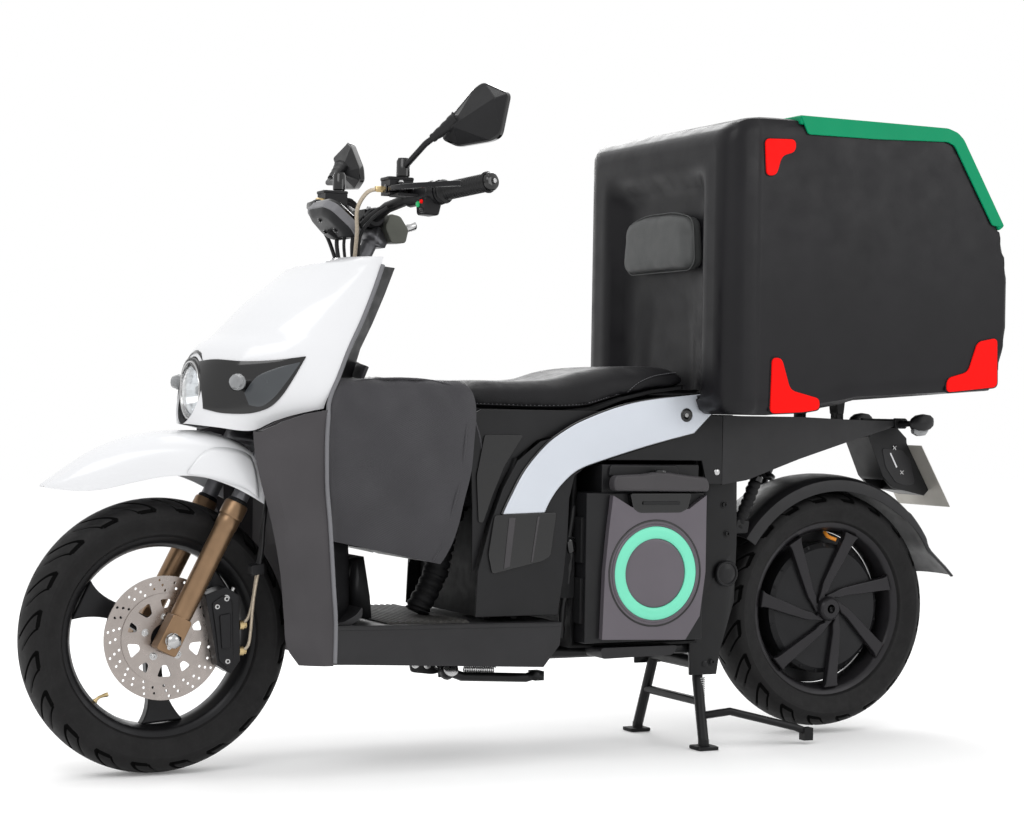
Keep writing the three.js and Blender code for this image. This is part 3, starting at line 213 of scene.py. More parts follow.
STEEL = finish("bright_steel", (0.45, 0.45, 0.45), 0.26, metal=1.0, mottle=0.06, grain=0.08,
               brushed=(4, 30, 4))
DISC = finish("brake_disc_steel", (0.34, 0.305, 0.285), 0.30, metal=0.95, mottle=0.07, mottle_size=26,
              grain=0.06, brushed=(4, 24, 24))
BRASS = finish("zinc_yellow", (0.55, 0.42, 0.22), 0.32, metal=0.9, mottle=0.12, grain=0.1)
FRAME_STEEL = finish("frame_paint", (0.006, 0.006, 0.0066), 0.38, metal=0.2, mottle=0.2, grain=0.2,
                     ripple=0.05)
ALLOY = finish("black_alloy", (0.0098, 0.0098, 0.0108), 0.34, metal=0.4, mottle=0.15, grain=0.2,
               grain_size=1300)
SPOKE = finish("spoke_alloy", (0.019, 0.018, 0.020), 0.34, metal=0.4, mottle=0.1, grain=0.2, grain_size=1300)
GREY_METAL = finish("grey_casting", (0.16, 0.16, 0.17), 0.4, metal=0.7, mottle=0.15, grain=0.3,
                    grain_size=600)
TYRE = finish("tyre_rubber", (0.0075, 0.0072, 0.0075), 0.60, mottle=0.2, mottle_size=20, grain=0.3,
              grain_size=500, dust=0.01, spec=0.2)
GRIP = finish("grip_rubber", (0.0066, 0.0066, 0.0072), 0.46, mottle=0.15, grain=0.3, pebble=0.15)
VINYL = finish("seat_vinyl", (0.0076, 0.0074, 0.0084), 0.50, mottle=0.12, grain=0.1, pebble=0.32, spec=0.2)
STITCH = finish("thread", (0.16, 0.16, 0.17), 0.7, mottle=0.1, grain=0.2)
PAD = finish("pad_vinyl", (0.062, 0.064, 0.064), 0.5, mottle=0.1, grain=0.1, pebble=0.22)
CLOTH = finish("coated_cloth", (0.030, 0.029, 0.033), 0.5, mottle=0.12, mottle_size=8, grain=0.2,
               grain_size=500, weave=0.3, sheen=0.12)
CLEAR = finish("clear_plastic", (0.92, 0.94, 0.95), 0.05, mottle=0.01, grain=0.0, ripple=0.0, through=0.9)
MIRROR_BOWL = finish("reflector", (0.85, 0.86, 0.88), 0.12, metal=1.0, mottle=0.03, grain=0.1,
                     grain_size=200, grain_depth=0.001)
LENS_GREY = finish("fluted_lens", (0.20, 0.205, 0.21), 0.14, metal=0.0, mottle=0.15, mottle_size=60,
                   grain=0.3, grain_size=220, grain_depth=0.001, coat=0.8)
RED_LENS = finish("red_lens", (0.45, 0.01, 0.012), 0.15, mottle=0.05, grain=0.1, coat=0.7)
RED = finish("red_pad", (0.80, 0.003, 0.002), 0.42, mottle=0.03, grain=0.15, spec=0.08)
GREEN = finish("green_plastic", (0.0005, 0.225, 0.098), 0.38, mottle=0.05, mottle_size=5, grain=0.18,
               spec=0.1)
GREEN_BUTTON = finish("green_button", (0.02, 0.42, 0.14), 0.3, mottle=0.05, grain=0.05, glow=0.15)
MINT = finish("mint_plastic", (0.16, 0.62, 0.43), 0.34, mottle=0.04, mottle_size=8, grain=0.08, glow=0.06)
GUNMETAL = finish("gunmetal_face", (0.110, 0.099, 0.113), 0.36, metal=0.35, mottle=0.06, mottle_size=8,
                  grain=0.2, grain_size=1500)
PLATE = finish("plate_metal", (0.47, 0.45, 0.41), 0.42, metal=0.4, mottle=0.08, grain=0.15, ripple=0.1)
OLIVE = finish("lock_casting", (0.085, 0.088, 0.075), 0.45, metal=0.3, mottle=0.2, grain=0.3)
GLASS_MIRROR = finish("mirror_glass", (0.75, 0.78, 0.80), 0.03, metal=1.0, mottle=0.01, grain=0.0)
SCREEN = finish("dash_screen", (0.010, 0.013, 0.016), 0.07, mottle=0.1, grain=0.0, coat=0.6)
# Near-black, dull rubber for the tread groove floors: painted shade in the grooves.
GROOVE_SHADE = finish("tread_groove_painted_shade", (0.002, 0.002, 0.002), 0.9, mottle=0.1, spec=0.05)
CABLE = finish("cable_sleeve", (0.0084, 0.0084, 0.009), 0.42, mottle=0.1, grain=0.2)
BRAID = finish("braided_line", (0.42, 0.36, 0.28), 0.4, metal=0.5, mottle=0.2, mottle_size=300, grain=0.4,
               grain_size=900)
ORANGE = finish("valve_orange", (0.75, 0.27, 0.03), 0.4, mottle=0.05, grain=0.1)
LINER = finish("mat_rubber", (0.03, 0.029, 0.0275), 0.6, mottle=0.15, grain=0.35, grain_size=500, dust=0.14)


# ------------------------------------------------------------ mesh helpers
def metres(points):
    return [tuple(v * MM for v in p) for p in points]


def show(name, mesh, body, material, slot=None, sharp=35, bevel=0.0, segments=2, levels=0, weld=True):
    """An object for a mesh in metres, smooth but for its sharp edges, riding on a body."""
    if weld:
        bm = bmesh.new()
        bm.from_mesh(mesh)
        bmesh.ops.remove_doubles(bm, verts=bm.verts, dist=1e-6)
        bmesh.ops.recalc_face_normals(bm, faces=bm.faces)
        bm.to_mesh(mesh)
        bm.free()
    mesh.shade_smooth()
    mesh.set_sharp_from_angle(angle=math.radians(sharp))
    mesh.materials.clear()
    mesh.materials.append(material)
    obj = bpy.data.objects.new(name, mesh)
    scene.collection.objects.link(obj)
    if levels:
        made = obj.modifiers.new("smooth", "SUBSURF")
        made.levels = made.render_levels = levels
    if bevel:
        made = obj.modifiers.new("edges", "BEVEL")
        made.width = bevel * MM
        made.segments = segments
        made.limit_method = "ANGLE"
        made.angle_limit = math.radians(32)
        made.harden_normals = True
    if body:
        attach(obj, body)
    return obj


def thicken(obj, thickness, offset=-1):
    """Gives a sheet its wall, inwards unless an offset says otherwise."""
    wall = obj.modifiers.new("wall", "SOLIDIFY")
    wall.thickness = thickness * MM
    wall.offset = offset


def soften(obj, width, segments, angle=30):
    """Rounds the edges sharper than an angle."""
    edge = obj.modifiers.new("edge", "BEVEL")
    edge.width = width * MM
    edge.segments = segments
    edge.angle_limit = math.radians(angle)


def mesh_of(name, points, faces):
    mesh = bpy.data.meshes.new(name)
    mesh.from_pydata(metres(points), [], faces)
    return mesh


def skin(rings, closed=True, caps=True):
    """Points and faces over rings of equal length."""
    count = len(rings[0])
    points = [p for ring in rings for p in ring]
    faces = []
    for i in range(len(rings) - 1):
        for j in range(count if closed else count - 1):
            k = (j + 1) % count
            faces.append((i * count + j, i * count + k, (i + 1) * count + k, (i + 1) * count + j))
    if caps:
        faces.append(tuple(range(count))[::-1])
        faces.append(tuple((len(rings) - 1) * count + j for j in range(count)))
    return points, faces


def smooth_curve(points, steps, closed=False):
    """Catmull-Rom through the points, with that many steps for each span."""
    pts = [Vector(p) for p in points]
    n = len(pts)
    out = []
    for i in range(n if closed else n - 1):
        if closed:
            a, b, c, d = (pts[(i + k) % n] for k in (-1, 0, 1, 2))
        else:
            a, b, c, d = pts[max(i - 1, 0)], pts[i], pts[i + 1], pts[min(i + 2, n - 1)]
        for s in range(steps):
            t = s / steps
            out.append(0.5 * (2 * b + (c - a) * t + (2 * a - 5 * b + 4 * c - d) * t * t
                              + (3 * b - a - 3 * c + d) * t ** 3))
    if not closed:
        out.append(pts[-1])
    return [tuple(p) for p in out]


def flat_curve(points, steps):
    """The same smooth curve through 2-D points."""
    return [p[:2] for p in smooth_curve([(*p, 0) for p in points], steps)]


def read(table, key):
    """Smooth reading of a table of (key, value) rows."""
    if key <= table[0][0]:
        return table[0][1]
    if key >= table[-1][0]:
        return table[-1][1]
    i = max(k for k in range(len(table) - 1) if table[k][0] <= key)
    (x0, y0), (x1, y1) = table[i], table[i + 1]
    m0 = (y1 - table[max(i - 1, 0)][1]) / max(x1 - table[max(i - 1, 0)][0], 1e-9)
    after = table[min(i + 2, len(table) - 1)]
    m1 = (after[1] - y0) / max(after[0] - x0, 1e-9)
    t = (key - x0) / (x1 - x0)
    span = x1 - x0
    return ((2 * t ** 3 - 3 * t * t + 1) * y0 + (t ** 3 - 2 * t * t + t) * span * m0
            + (3 * t * t - 2 * t ** 3) * y1 + (t ** 3 - t * t) * span * m1)


def ease(t):
    t = min(1.0, max(0.0, t))
    return t * t * (3 - 2 * t)


def rounded(outline, radius, steps=5):
    """A 2-D outline with its corners rounded."""
    out = []
    n = len(outline)
    for i, corner in enumerate(outline):
        p, a, b = Vector(corner), Vector(outline[i - 1]), Vector(outline[(i + 1) % n])
        da, db = (a - p), (b - p)
        reach = min(radius, da.length * 0.48, db.length * 0.48)
        start, end = p + da.normalized() * reach, p + db.normalized() * reach
        for s in range(steps + 1):
            t = s / steps
            out.append(tuple((1 - t) ** 2 * start + 2 * t * (1 - t) * p + t * t * end))
    return out


def span(side, a, b):
    """Two distances from the middle as x values on one side, the lower first."""
    return min(side * a, side * b), max(side * a, side * b)


def side_prism(name, outline, x0, x1, body, material, bevel=1.0, slot=None, **more):
    """A plate from a side outline of (y, z) points, between two x values."""
    rings = [[(x, y, z) for y, z in outline] for x in (x0, x1)]
    return show(name, mesh_of(name, *skin(rings)), body, material, slot, bevel=bevel, **more)


def both_sides(name, outline, x0, x1, body, material, **more):
    return [side_prism(f"{name}_{word}", outline, *span(s, x0, x1), body, material, **more)
            for word, s in SIDES]


def turned(name, profile, at, axis, body, material, sides=64, slot=None, shift=0.0, **more):
    """A profile of (radius, along) points turned about an axis through a point.

    A closed profile repeats its first point.
    """
    axis = Vector(axis).normalized()
    across = axis.orthogonal().normalized()
    up = axis.cross(across)
    at = Vector(at)
    rings = []
    for i in range(sides):
        a = 2 * math.pi * i / sides + shift
        out = across * math.cos(a) + up * math.sin(a)
        rings.append([tuple(at + axis * along + out * r) for r, along in profile])
    rings.append(rings[0])
    points, faces = skin(rings, closed=False, caps=False)
    return show(name, mesh_of(name, points, faces), body, material, slot, **more)


def tube(name, points, radius, body, material, steps=6, sides=12, slot=None, wave=None, closed_path=False,
         **more):
    """A smooth tube along a curve. wave gives the radius at a share of the length."""
    path = [Vector(p) for p in (smooth_curve(points, steps, closed_path) if steps > 1 else points)]
    if closed_path:
        path.append(path[0])
    side = None
    rings = []
    for i, p in enumerate(path):
        along = (path[min(i + 1, len(path) - 1)] - path[max(i - 1, 0)]).normalized()
        if side is None:
            side = along.orthogonal().normalized()
        side = (side - along * side.dot(along)).normalized()
        up = along.cross(side)
        r = wave(i / (len(path) - 1)) if wave else radius
        rings.append([tuple(p + side * r * math.cos(2 * math.pi * k / sides)
                            + up * r * math.sin(2 * math.pi * k / sides)) for k in range(sides)])
    points, faces = skin(rings, caps=not closed_path)
    return show(name, mesh_of(name, points, faces), body, material, slot, sharp=60, **more)


def gather(name, parts, body):
    """Joins small objects into one piece that rides on a body."""
    bpy.context.view_layer.update()
    depsgraph = bpy.context.evaluated_depsgraph_get()
    bm = bmesh.new()
    materials = []
    for part in parts:
        evaluated = part.evaluated_get(depsgraph)
        mesh = bpy.data.meshes.new_from_object(evaluated)
        mesh.transform(part.matrix_world)
        material = part.data.materials[0]
        if material not in materials:
            materials.append(material)
        index = materials.index(material)
        start = len(bm.faces)
        bm.from_mesh(mesh)
        bm.faces.ensure_lookup_table()
        for face in bm.faces[start:]:
            face.material_index = index
        bpy.data.meshes.remove(mesh)
    joined = bpy.data.meshes.new(name)
    bm.to_mesh(joined)
    bm.free()
    for material in materials:
        joined.materials.append(material)
    obj = bpy.data.objects.new(name, joined)
    scene.collection.objects.link(obj)
    for part in parts:
        bpy.data.objects.remove(part)
    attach(obj, body)
    return obj


def bolt(at, axis, radius=5.0, height=4.0, material=STEEL):
    """A round bolt head with a washer and a socket, not yet on a body."""
    profile = [(radius * 1.45, 0), (radius * 1.45, height * 0.2), (radius, height * 0.25),
               (radius, height * 0.85), (radius * 0.85, height), (radius * 0.5, height),
               (radius * 0.45, height * 0.5), (0.01, height * 0.5)]
    return turned("bolt", profile, at, axis, None, material, sides=18)


def cutter(name, points, faces):
    return show(name, mesh_of(name, points, faces), None, MATT)


def solid_between(name, outline, x0, x1):
    return cutter(name, *skin([[(x, y, z) for y, z in outline] for x in (x0, x1)]))


def carve(obj, cutters):
    """Cuts solids out of an object and removes them."""
    for k, tool in enumerate(cutters):
        made = obj.modifiers.new(f"cut{k}", "BOOLEAN")
        made.operation = "DIFFERENCE"
        made.solver = "EXACT"
        made.object = tool
    bpy.context.view_layer.update()
    depsgraph = bpy.context.evaluated_depsgraph_get()
    mesh = bpy.data.meshes.new_from_object(obj.evaluated_get(depsgraph))
    obj.modifiers.clear()
    obj.data = mesh
    for tool in cutters:
        bpy.data.objects.remove(tool)
    return obj


# ------------------------------------------------------------ camera, floor and light
def make_camera():
    yaw, pitch, roll = (math.radians(a) for a in CAMERA_TURN)
    look = Vector((-math.cos(yaw) * math.cos(pitch), math.sin(yaw) * math.cos(pitch), math.sin(pitch)))
    right = look.cross(Vector((0, 0, 1))).normalized()
    up = right.cross(look)
    right, up = (math.cos(roll) * right + math.sin(roll) * up, -math.sin(roll) * right + math.cos(roll) * up)
    data = bpy.data.cameras.new("camera")
    data.sensor_width = 36
    data.lens = CAMERA_LENS
    camera = bpy.data.objects.new("camera", data)
    turn = Matrix((right, up, -look)).transposed().to_4x4()
    camera.matrix_world = Matrix.Translation(CAMERA_AT) @ turn
    scene.collection.objects.link(camera)
    scene.camera = camera


def area_light(name, at, aim, size, power):
    data = bpy.data.lights.new(name, "AREA")
    data.shape = "RECTANGLE"
    data.size, data.size_y = size
    data.energy = power
    lamp = bpy.data.objects.new(name, data)
    lamp.location = at
    lamp.rotation_euler = (Vector(aim) - Vector(at)).to_track_quat("-Z", "Y").to_euler()
    scene.collection.objects.link(lamp)


def make_stage():
    reach = 14.0
    mesh = bpy.data.meshes.new("floor")
    mesh.from_pydata([(-reach, -reach, -0.0008), (reach, -reach, -0.0008), (reach, reach, -0.0008),
                      (-reach, reach, -0.0008)], [], [(0, 1, 2, 3)])
    floor = bpy.data.objects.new("floor", mesh)
    mesh.materials.append(finish("studio_floor", (0.90, 0.90, 0.90), 0.9, mottle=0.01, grain=0.02, spec=0.0,
                                 glow=0.12))
    scene.collection.objects.link(floor)
    world = bpy.data.worlds.new("studio")
    world.use_nodes = True
    back = world.node_tree.nodes["Background"]
    back.inputs["Color"].default_value = (1.0, 1.0, 1.0, 1)
    back.inputs["Strength"].default_value = 1.0
    scene.world = world
    area_light("key", (2.4, -2.6, 3.4), (0, 0, 0.6), (2.6, 2.0), 46)
    area_light("fill", (3.0, 2.6, 2.0), (0, 0.3, 0.6), (2.0, 1.6), 22)
    area_light("top", (-0.4, 0.2, 3.6), (0, 0.1, 0.5), (1.8, 3.0), 30)
    area_light("rim", (-2.8, 1.0, 2.4), (0, 0, 0.7), (1.4, 2.0), 34)


scene.view_settings.view_transform = "Standard"
make_camera()
make_stage()

# ------------------------------------------------------------ finishes of the CAD nodes
FINISHES = {"chassis": FRAME_STEEL, "leg_shield": SHIELD, "inner_panel": SATIN, "front_cowl": WHITE,
            "headlamp_housing": GLOSS, "headlamp_lens": CLEAR, "indicator_front_left": SATIN,
            "indicator_front_right": SATIN, "floor_deck": PANEL, "centre_body": MATT, "cable_conduit": MATT,
            "side_panel_left": SATIN, "side_panel_right": SATIN, "side_trim_left": SILVER,
            "side_trim_right": SILVER, "tail_panel": PANEL, "plate_holder": SATIN, "number_plate": PLATE,
            "indicator_rear_left": SATIN, "indicator_rear_right": SATIN, "cargo_box": BOX,
            "backrest_pad": PAD, "apron": CLOTH, "fork_upper": GREY_METAL, "front_mudguard": WHITE,
            "handlebar": FRAME_STEEL, "grip_left": GRIP, "controls_left": SATIN, "controls_right": SATIN,
            "dashboard": SATIN, "fork_slider_left": BRONZE, "fork_slider_right": BRONZE,
            "front_axle": STEEL, "front_caliper": ALLOY, "front_brake_hose": CABLE, "front_tyre": TYRE,
            "front_rim": ALLOY, "front_brake_disc": DISC, "throttle_grip": GRIP, "brake_lever_left": ALLOY,
            "brake_lever_right": ALLOY, "mirror_left": SATIN, "mirror_right": SATIN, "cargo_lid": GREEN,
            "seat": VINYL, "seat_pan": MATT, "battery_case": SATIN, "battery_face": GUNMETAL,
            "battery_ring": MINT, "battery_handle": SHIELD, "battery_wheels": MATT, "swingarm": ALLOY,
            "hugger": PANEL, "rear_tyre": TYRE, "rear_rim": SPOKE, "shock_body": ALLOY,
            "shock_spring": FRAME_STEEL, "shock_rod": STEEL, "centre_stand": FRAME_STEEL,
            "side_stand": FRAME_STEEL}
EDGE_WIDTHS = {"floor_deck": 5, "side_panel_left": 1.5, "side_panel_right": 1.5, "side_trim_left": 2.2,
               "side_trim_right": 2.2, "battery_case": 6, "battery_face": 2.5, "battery_handle": 5,
               "tail_panel": 2, "plate_holder": 3, "front_caliper": 3, "controls_left": 2,
               "controls_right": 2, "handlebar": 1.5, "mirror_left": 3, "mirror_right": 3, "cargo_lid": 4,
               "brake_lever_left": 2.5, "brake_lever_right": 2.5, "swingarm": 2, "centre_stand": 1.5,
               "dashboard": 3}


def dress_cad():
    for name, obj in nodes.items():
        obj.data.materials.clear()
        obj.data.materials.append(FINISHES[name])
        obj.data.shade_smooth()
        weld = obj.modifiers.new("weld", "WELD")
        weld.merge_threshold = 0.00002
        if name in EDGE_WIDTHS:
            edges = obj.modifiers.new("edges", "BEVEL")
            edges.width = EDGE_WIDTHS[name] * MM
            edges.segments = 3
            edges.limit_method = "ANGLE"
            edges.angle_limit = math.radians(40)
            edges.harden_normals = True
        flow = obj.modifiers.new("flow", "WEIGHTED_NORMAL")
        flow.keep_sharp = False
        flow.weight = 50


dress_cad()

# ------------------------------------------------------------ wheels
def tyre(name, node, centre, width, body):
    """A tyre with curved grooves cut across its tread, the groove floors given a darker, duller material as
    painted shade.
    """
    half = width / 2
    shape = [(181, 0.60), (186, 0.70), (190, 0.80), (194, 0.815), (203, 0.87), (216, 0.965), (222, 0.99),
             (224, 1.0), (228, 0.985), (238, 0.915), (246, 0.76), (251.5, 0.55), (255, 0.33), (256.7, 0.14),
             (257, 0.0)]
    outer = flat_curve([(r, x * half) for r, x in shape], 3)
    profile = [(r, -x) for r, x in outer] + outer[::-1][1:]
    profile += [(181, 0.5 * half), (222, 0.84 * half), (222, -0.84 * half), (181, -0.5 * half)]
    turns = 840
    rings = []
    for i in range(turns):
        a = 2 * math.pi * i / turns
        ring = []
        for r, x in profile:
            share = abs(x) / half
            swept = a - SWEEP * share ** 1.25
            if r > 226 and share < 0.955:
                r -= 5.0 * groove(swept, share, x > 0)
            ring.append((centre[0] + x, centre[1] + r * math.cos(swept), centre[2] + r * math.sin(swept)))
        rings.append(ring)
    rings.append(rings[0])
    obj = show(name, mesh_of(name, *skin(rings, caps=False)), body, TYRE, "tyre_rubber", sharp=70)
    # The faces deep in the grooves take the darker, duller material: painted shade.
    obj.data.materials.append(GROOVE_SHADE)
    for face in obj.data.polygons:
        x, y, z = (face.center[k] / MM - centre[k] for k in range(3))
        if math.hypot(y, z) > 224 and groove(math.atan2(z, y), abs(x) / half, x > 0) > 0.4:
            face.material_index = 1
    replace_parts(obj, node)


def groove(angle, share, left):
    """How deep the tread is cut there, from 0 to 1."""
    step = 2 * math.pi / TREAD_REPEATS
    angle = angle + (0 if left else step / 2) + SWEEP * share ** 1.25
    turn = (angle / step) % 1
    deep = 0.0
    for at, start, end in ((0.0, 0.05, 0.93), (0.42, 0.36, 0.93)):
        gap = min(abs(turn - at), 1 - abs(turn - at)) * step * 250
        if start < share < end:
            fade = min(1, (share - start) / 0.05)
            deep = max(deep, ease(fade) * ease((3.9 - gap) / 1.8))
    if 0.87 < share and turn < 0.42:
        deep = max(deep, ease((2.6 - abs(share - 0.91) * 52) / 1.7))
    return deep


def rim_barrel(name, width, centre, body, material):
    lip = 0.62 * (width / 2)
    half = [(166, 0.0), (166, 0.42 * lip), (169, 0.55 * lip), (172, 0.86 * lip), (176, lip),
            (181, lip + 2.5), (186, lip + 4.5), (189, lip + 3), (188, lip - 1), (180.5, lip - 2),
            (176, 0.6 * lip), (174, 0.0)]
    profile = [(r, x) for r, x in half] + [(r, -x) for r, x in half[::-1][1:]]
    return turned(name, profile, centre, (1, 0, 0), body, material, sides=120, sharp=40)


def wheel_point(centre, r, a, x=0):
    return (centre[0] + x, centre[1] + r * math.cos(a), centre[2] + r * math.sin(a))


def front_rim():
    barrel = rim_barrel("front_rim_barrel", FRONT_TYRE_W, FRONT_AXLE, None, ALLOY)
    parts = [barrel]
    for k in range(3):
        angle = math.radians(140 + 120 * k)
        sides = ([], [])
        for i in range(15):
            t = i / 14
            r = 26 + 142 * t
            half = 16 + 3 * math.exp(-((t) / 0.12) ** 2) + 26 * max(0, (t - 0.35) / 0.65) ** 2.6
            lean = angle + 0.25 * math.sin(t * math.pi / 2)
            sides[0].append(wheel_point(FRONT_AXLE, r, lean + half / r)[1:])
            sides[1].append(wheel_point(FRONT_AXLE, r, lean - half / r)[1:])
        outline = sides[0] + sides[1][::-1]
        parts.append(side_prism(f"spoke{k}", outline, -13, 15, None, ALLOY, bevel=5, segments=3))
    hub = [(9, -42), (27, -42), (30, -38), (32, -16), (34, 0), (32, 16), (30, 40), (34, 44), (34, 54),
           (9, 54), (9, -42)]
    parts.append(turned("hub", hub, FRONT_AXLE, (1, 0, 0), None, ALLOY, sides=48))
    rim = gather("front_wheel_casting", parts, "front_wheel")
    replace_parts(rim, "front_rim")
    a = math.radians(226)
    foot, tip = wheel_point(FRONT_AXLE, 168, a, 6), wheel_point(FRONT_AXLE, 140, a + 0.05, 14)
    tube("front_valve", [foot, wheel_point(FRONT_AXLE, 155, a, 7), tip], 3.6, "front_wheel", BRASS, steps=3,
         slot="bright_steel", wave=lambda t: 5.2 if t < 0.3 else (3.0 if t < 0.75 else 4.2))


def ring_plate(name, outline, holes, x0, x1, material):
    """A flat plate with holes, from 2-D outlines of (y, z) points."""
    data = bpy.data.curves.new(name, "CURVE")
    data.dimensions = "2D"
    data.fill_mode = "BOTH"
    data.extrude = (x1 - x0) / 2 * MM
    for loop in [outline] + holes:
        spline = data.splines.new("POLY")
        spline.points.add(len(loop) - 1)
        spline.use_cyclic_u = True
        for point, (y, z) in zip(spline.points, loop):
            point.co = (y * MM, z * MM, 0, 1)
    flat = bpy.data.objects.new(name, data)
    scene.collection.objects.link(flat)
    bpy.context.view_layer.update()
    mesh = bpy.data.meshes.new_from_object(flat.evaluated_get(bpy.context.evaluated_depsgraph_get()))
    bpy.data.objects.remove(flat)
    turn = Matrix(((0, 0, 1, (x0 + x1) / 2 * MM), (1, 0, 0, 0), (0, 1, 0, 0), (0, 0, 0, 1)))
    mesh.transform(turn)
    return show(name, mesh, None, material, sharp=30)


def circle(centre, r, count=16):
    turns = [2 * math.pi * i / count for i in range(count)]
    return [(centre[0] + r * math.cos(a), centre[1] + r * math.sin(a)) for a in turns]


def brake_disc():
    cy, cz = FRONT_AXLE[1:]
    holes = [circle((cy, cz), 79, 96)]
    rows = 28
    for k in range(rows):
        start = 2 * math.pi * k / rows
        for j, r in enumerate((88, 98, 108) if k % 2 else (93, 103)):
            a = start + 0.05 * j
            holes.append(circle((cy + r * math.cos(a), cz + r * math.sin(a)), 2.7, 10))
    ring = ring_plate("brake_ring", circle((cy, cz), DISC_R, 128), holes, 54.6, 58.4, DISC)
    windows = [circle((cy, cz), 27, 40)]
    for k in range(10):
        a = 2 * math.pi * (k + 0.5) / 10
        wide = 0.20 if k % 2 else 0.15
        corners = [(50 if k % 2 else 56, a - wide * 0.55), (73, a - wide), (73, a + wide),
                   (50 if k % 2 else 56, a + wide * 0.55)]
        windows.append(rounded([(cy + r * math.cos(t), cz + r * math.sin(t)) for r, t in corners], 6, 4))
    carrier = ring_plate("carrier", circle((cy, cz), 83, 96), windows, 56.5, 60.6, DISC)
    bolts = [bolt((60.4, cy + 39 * math.cos(a), cz + 39 * math.sin(a)), (1, 0, 0), 5.2, 4.5)
             for a in [math.radians(72 * k + 20) for k in range(5)]]
    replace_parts(gather("brake_disc_assembly", [ring, carrier] + bolts, "front_wheel"),
                "front_brake_disc")


def rear_rim():
    parts = [rim_barrel("barrel", REAR_TYRE_W, REAR_AXLE, None, SPOKE)]
    drum = [(10, -52), (120, -46), (132, -36), (142, -30), (166, -26), (166, -20), (142, -22), (141, 20),
            (140, 24), (130, 31), (34, 33), (30, 34), (10, 34), (10, -52)]
    parts.append(turned("drum", drum, REAR_AXLE, (1, 0, 0), None, ALLOY, sides=120, sharp=20))
    for k in range(7):
        base = math.radians(17) + 2 * math.pi * k / 7
        sides = ([], [])
        for i in range(19):
            t = i / 18
            r = 22 + 150 * t
            lean = base + math.asin(30 / max(r, 30)) * (1 - 0.25 * ease((0.25 - t) / 0.25)) - 0.17
            half = (9.5 + 5.5 * t) if t < 0.93 else (9.5 + 5.5 * t + 60 * (t - 0.93))
            sides[0].append(wheel_point(REAR_AXLE, r, lean + half / r)[1:])
            sides[1].append(wheel_point(REAR_AXLE, r, lean - half / r)[1:])
        parts.append(side_prism(f"arm{k}", sides[0] + sides[1][::-1], 26, 43, None, SPOKE, bevel=3,
                                segments=3))
    cap = [(0.01, 56), (20, 56), (24, 53), (26, 49), (27, 30), (0.01, 30)]
    parts.append(turned("cap", cap, REAR_AXLE, (1, 0, 0), None, SPOKE, sides=48))
    for k in range(21):
        a = 2 * math.pi * (k + 0.3) / 21
        parts.append(bolt(wheel_point(REAR_AXLE, 136, a, 26), (1, 0.4 * math.cos(a), 0.4 * math.sin(a)),
                          3.0, 2.6, ALLOY))
    rim = gather("rear_wheel_casting", parts, "rear_wheel")
    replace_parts(rim, "rear_rim")
    a = math.radians(86)
    tube("rear_valve", [wheel_point(REAR_AXLE, 164, a, 10), wheel_point(REAR_AXLE, 155, a, 24),
                        wheel_point(REAR_AXLE, 150, a - 0.09, 36)], 4, "rear_wheel", ORANGE, steps=3,
         slot="bright_steel")


tyre("front_tyre_tread", "front_tyre", FRONT_AXLE, FRONT_TYRE_W, "front_wheel")
tyre("rear_tyre_tread", "rear_tyre", REAR_AXLE, REAR_TYRE_W, "rear_wheel")
front_rim()
brake_disc()
rear_rim()


# ------------------------------------------------------------ fork, brake and mudguard
def fork_leg(side):
    word = "left" if side > 0 else "right"
    x = side * FORK_X
    low = Vector(steer(-8, FORK_OFFSET, x))
    axis = Vector(steer(100, FORK_OFFSET, x)) - Vector(steer(0, FORK_OFFSET, x))
    sleeve = [(0.01, 6), (15, 6), (17.5, 10), (19, 40), (20, 60), (20, 236), (21.4, 240), (21.4, 256),
              (20.6, 258), (23, 261), (23, 284), (21.5, 288), (17, 288), (17, 284), (0.01, 284)]
    seal = [(16.2, 284), (19, 286), (19.5, 292), (17.5, 295), (16.2, 296)]
    foot = []
    for along, ahead in ((-26, -22), (46, -21), (46, 21), (-26, 22)):
        foot.append(steer(along, FORK_OFFSET + ahead * 0.95)[1:])
    parts = [turned("sleeve", sleeve, low, axis, None, BRONZE, sides=56, sharp=30),
             turned("seal", seal, low, axis, None, MATT, sides=40),
             side_prism("foot", rounded(foot, 7), min(x - side * 19, x + side * 20),
                        max(x - side * 19, x + side * 20), None, BRONZE, bevel=2.5)]
    parts.append(bolt((x + side * 19, steer(-14, FORK_OFFSET)[1], steer(-14, FORK_OFFSET)[2]), (side, 0, 0),
                      4, 3))
    leg = gather(f"fork_leg_{word}", parts, "fork_lower")
    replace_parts(leg, f"fork_slider_{word}")
    tip = [(0.01, 9), (8, 9), (10, 7), (11, 2), (14, 1.6), (14, 0), (0.01, 0)]
    turned(f"axle_nut_{word}", tip, (x + side * 20, *FRONT_AXLE[1:]), (side, 0, 0), "fork_lower", STEEL,
           sides=36, slot="bright_steel")


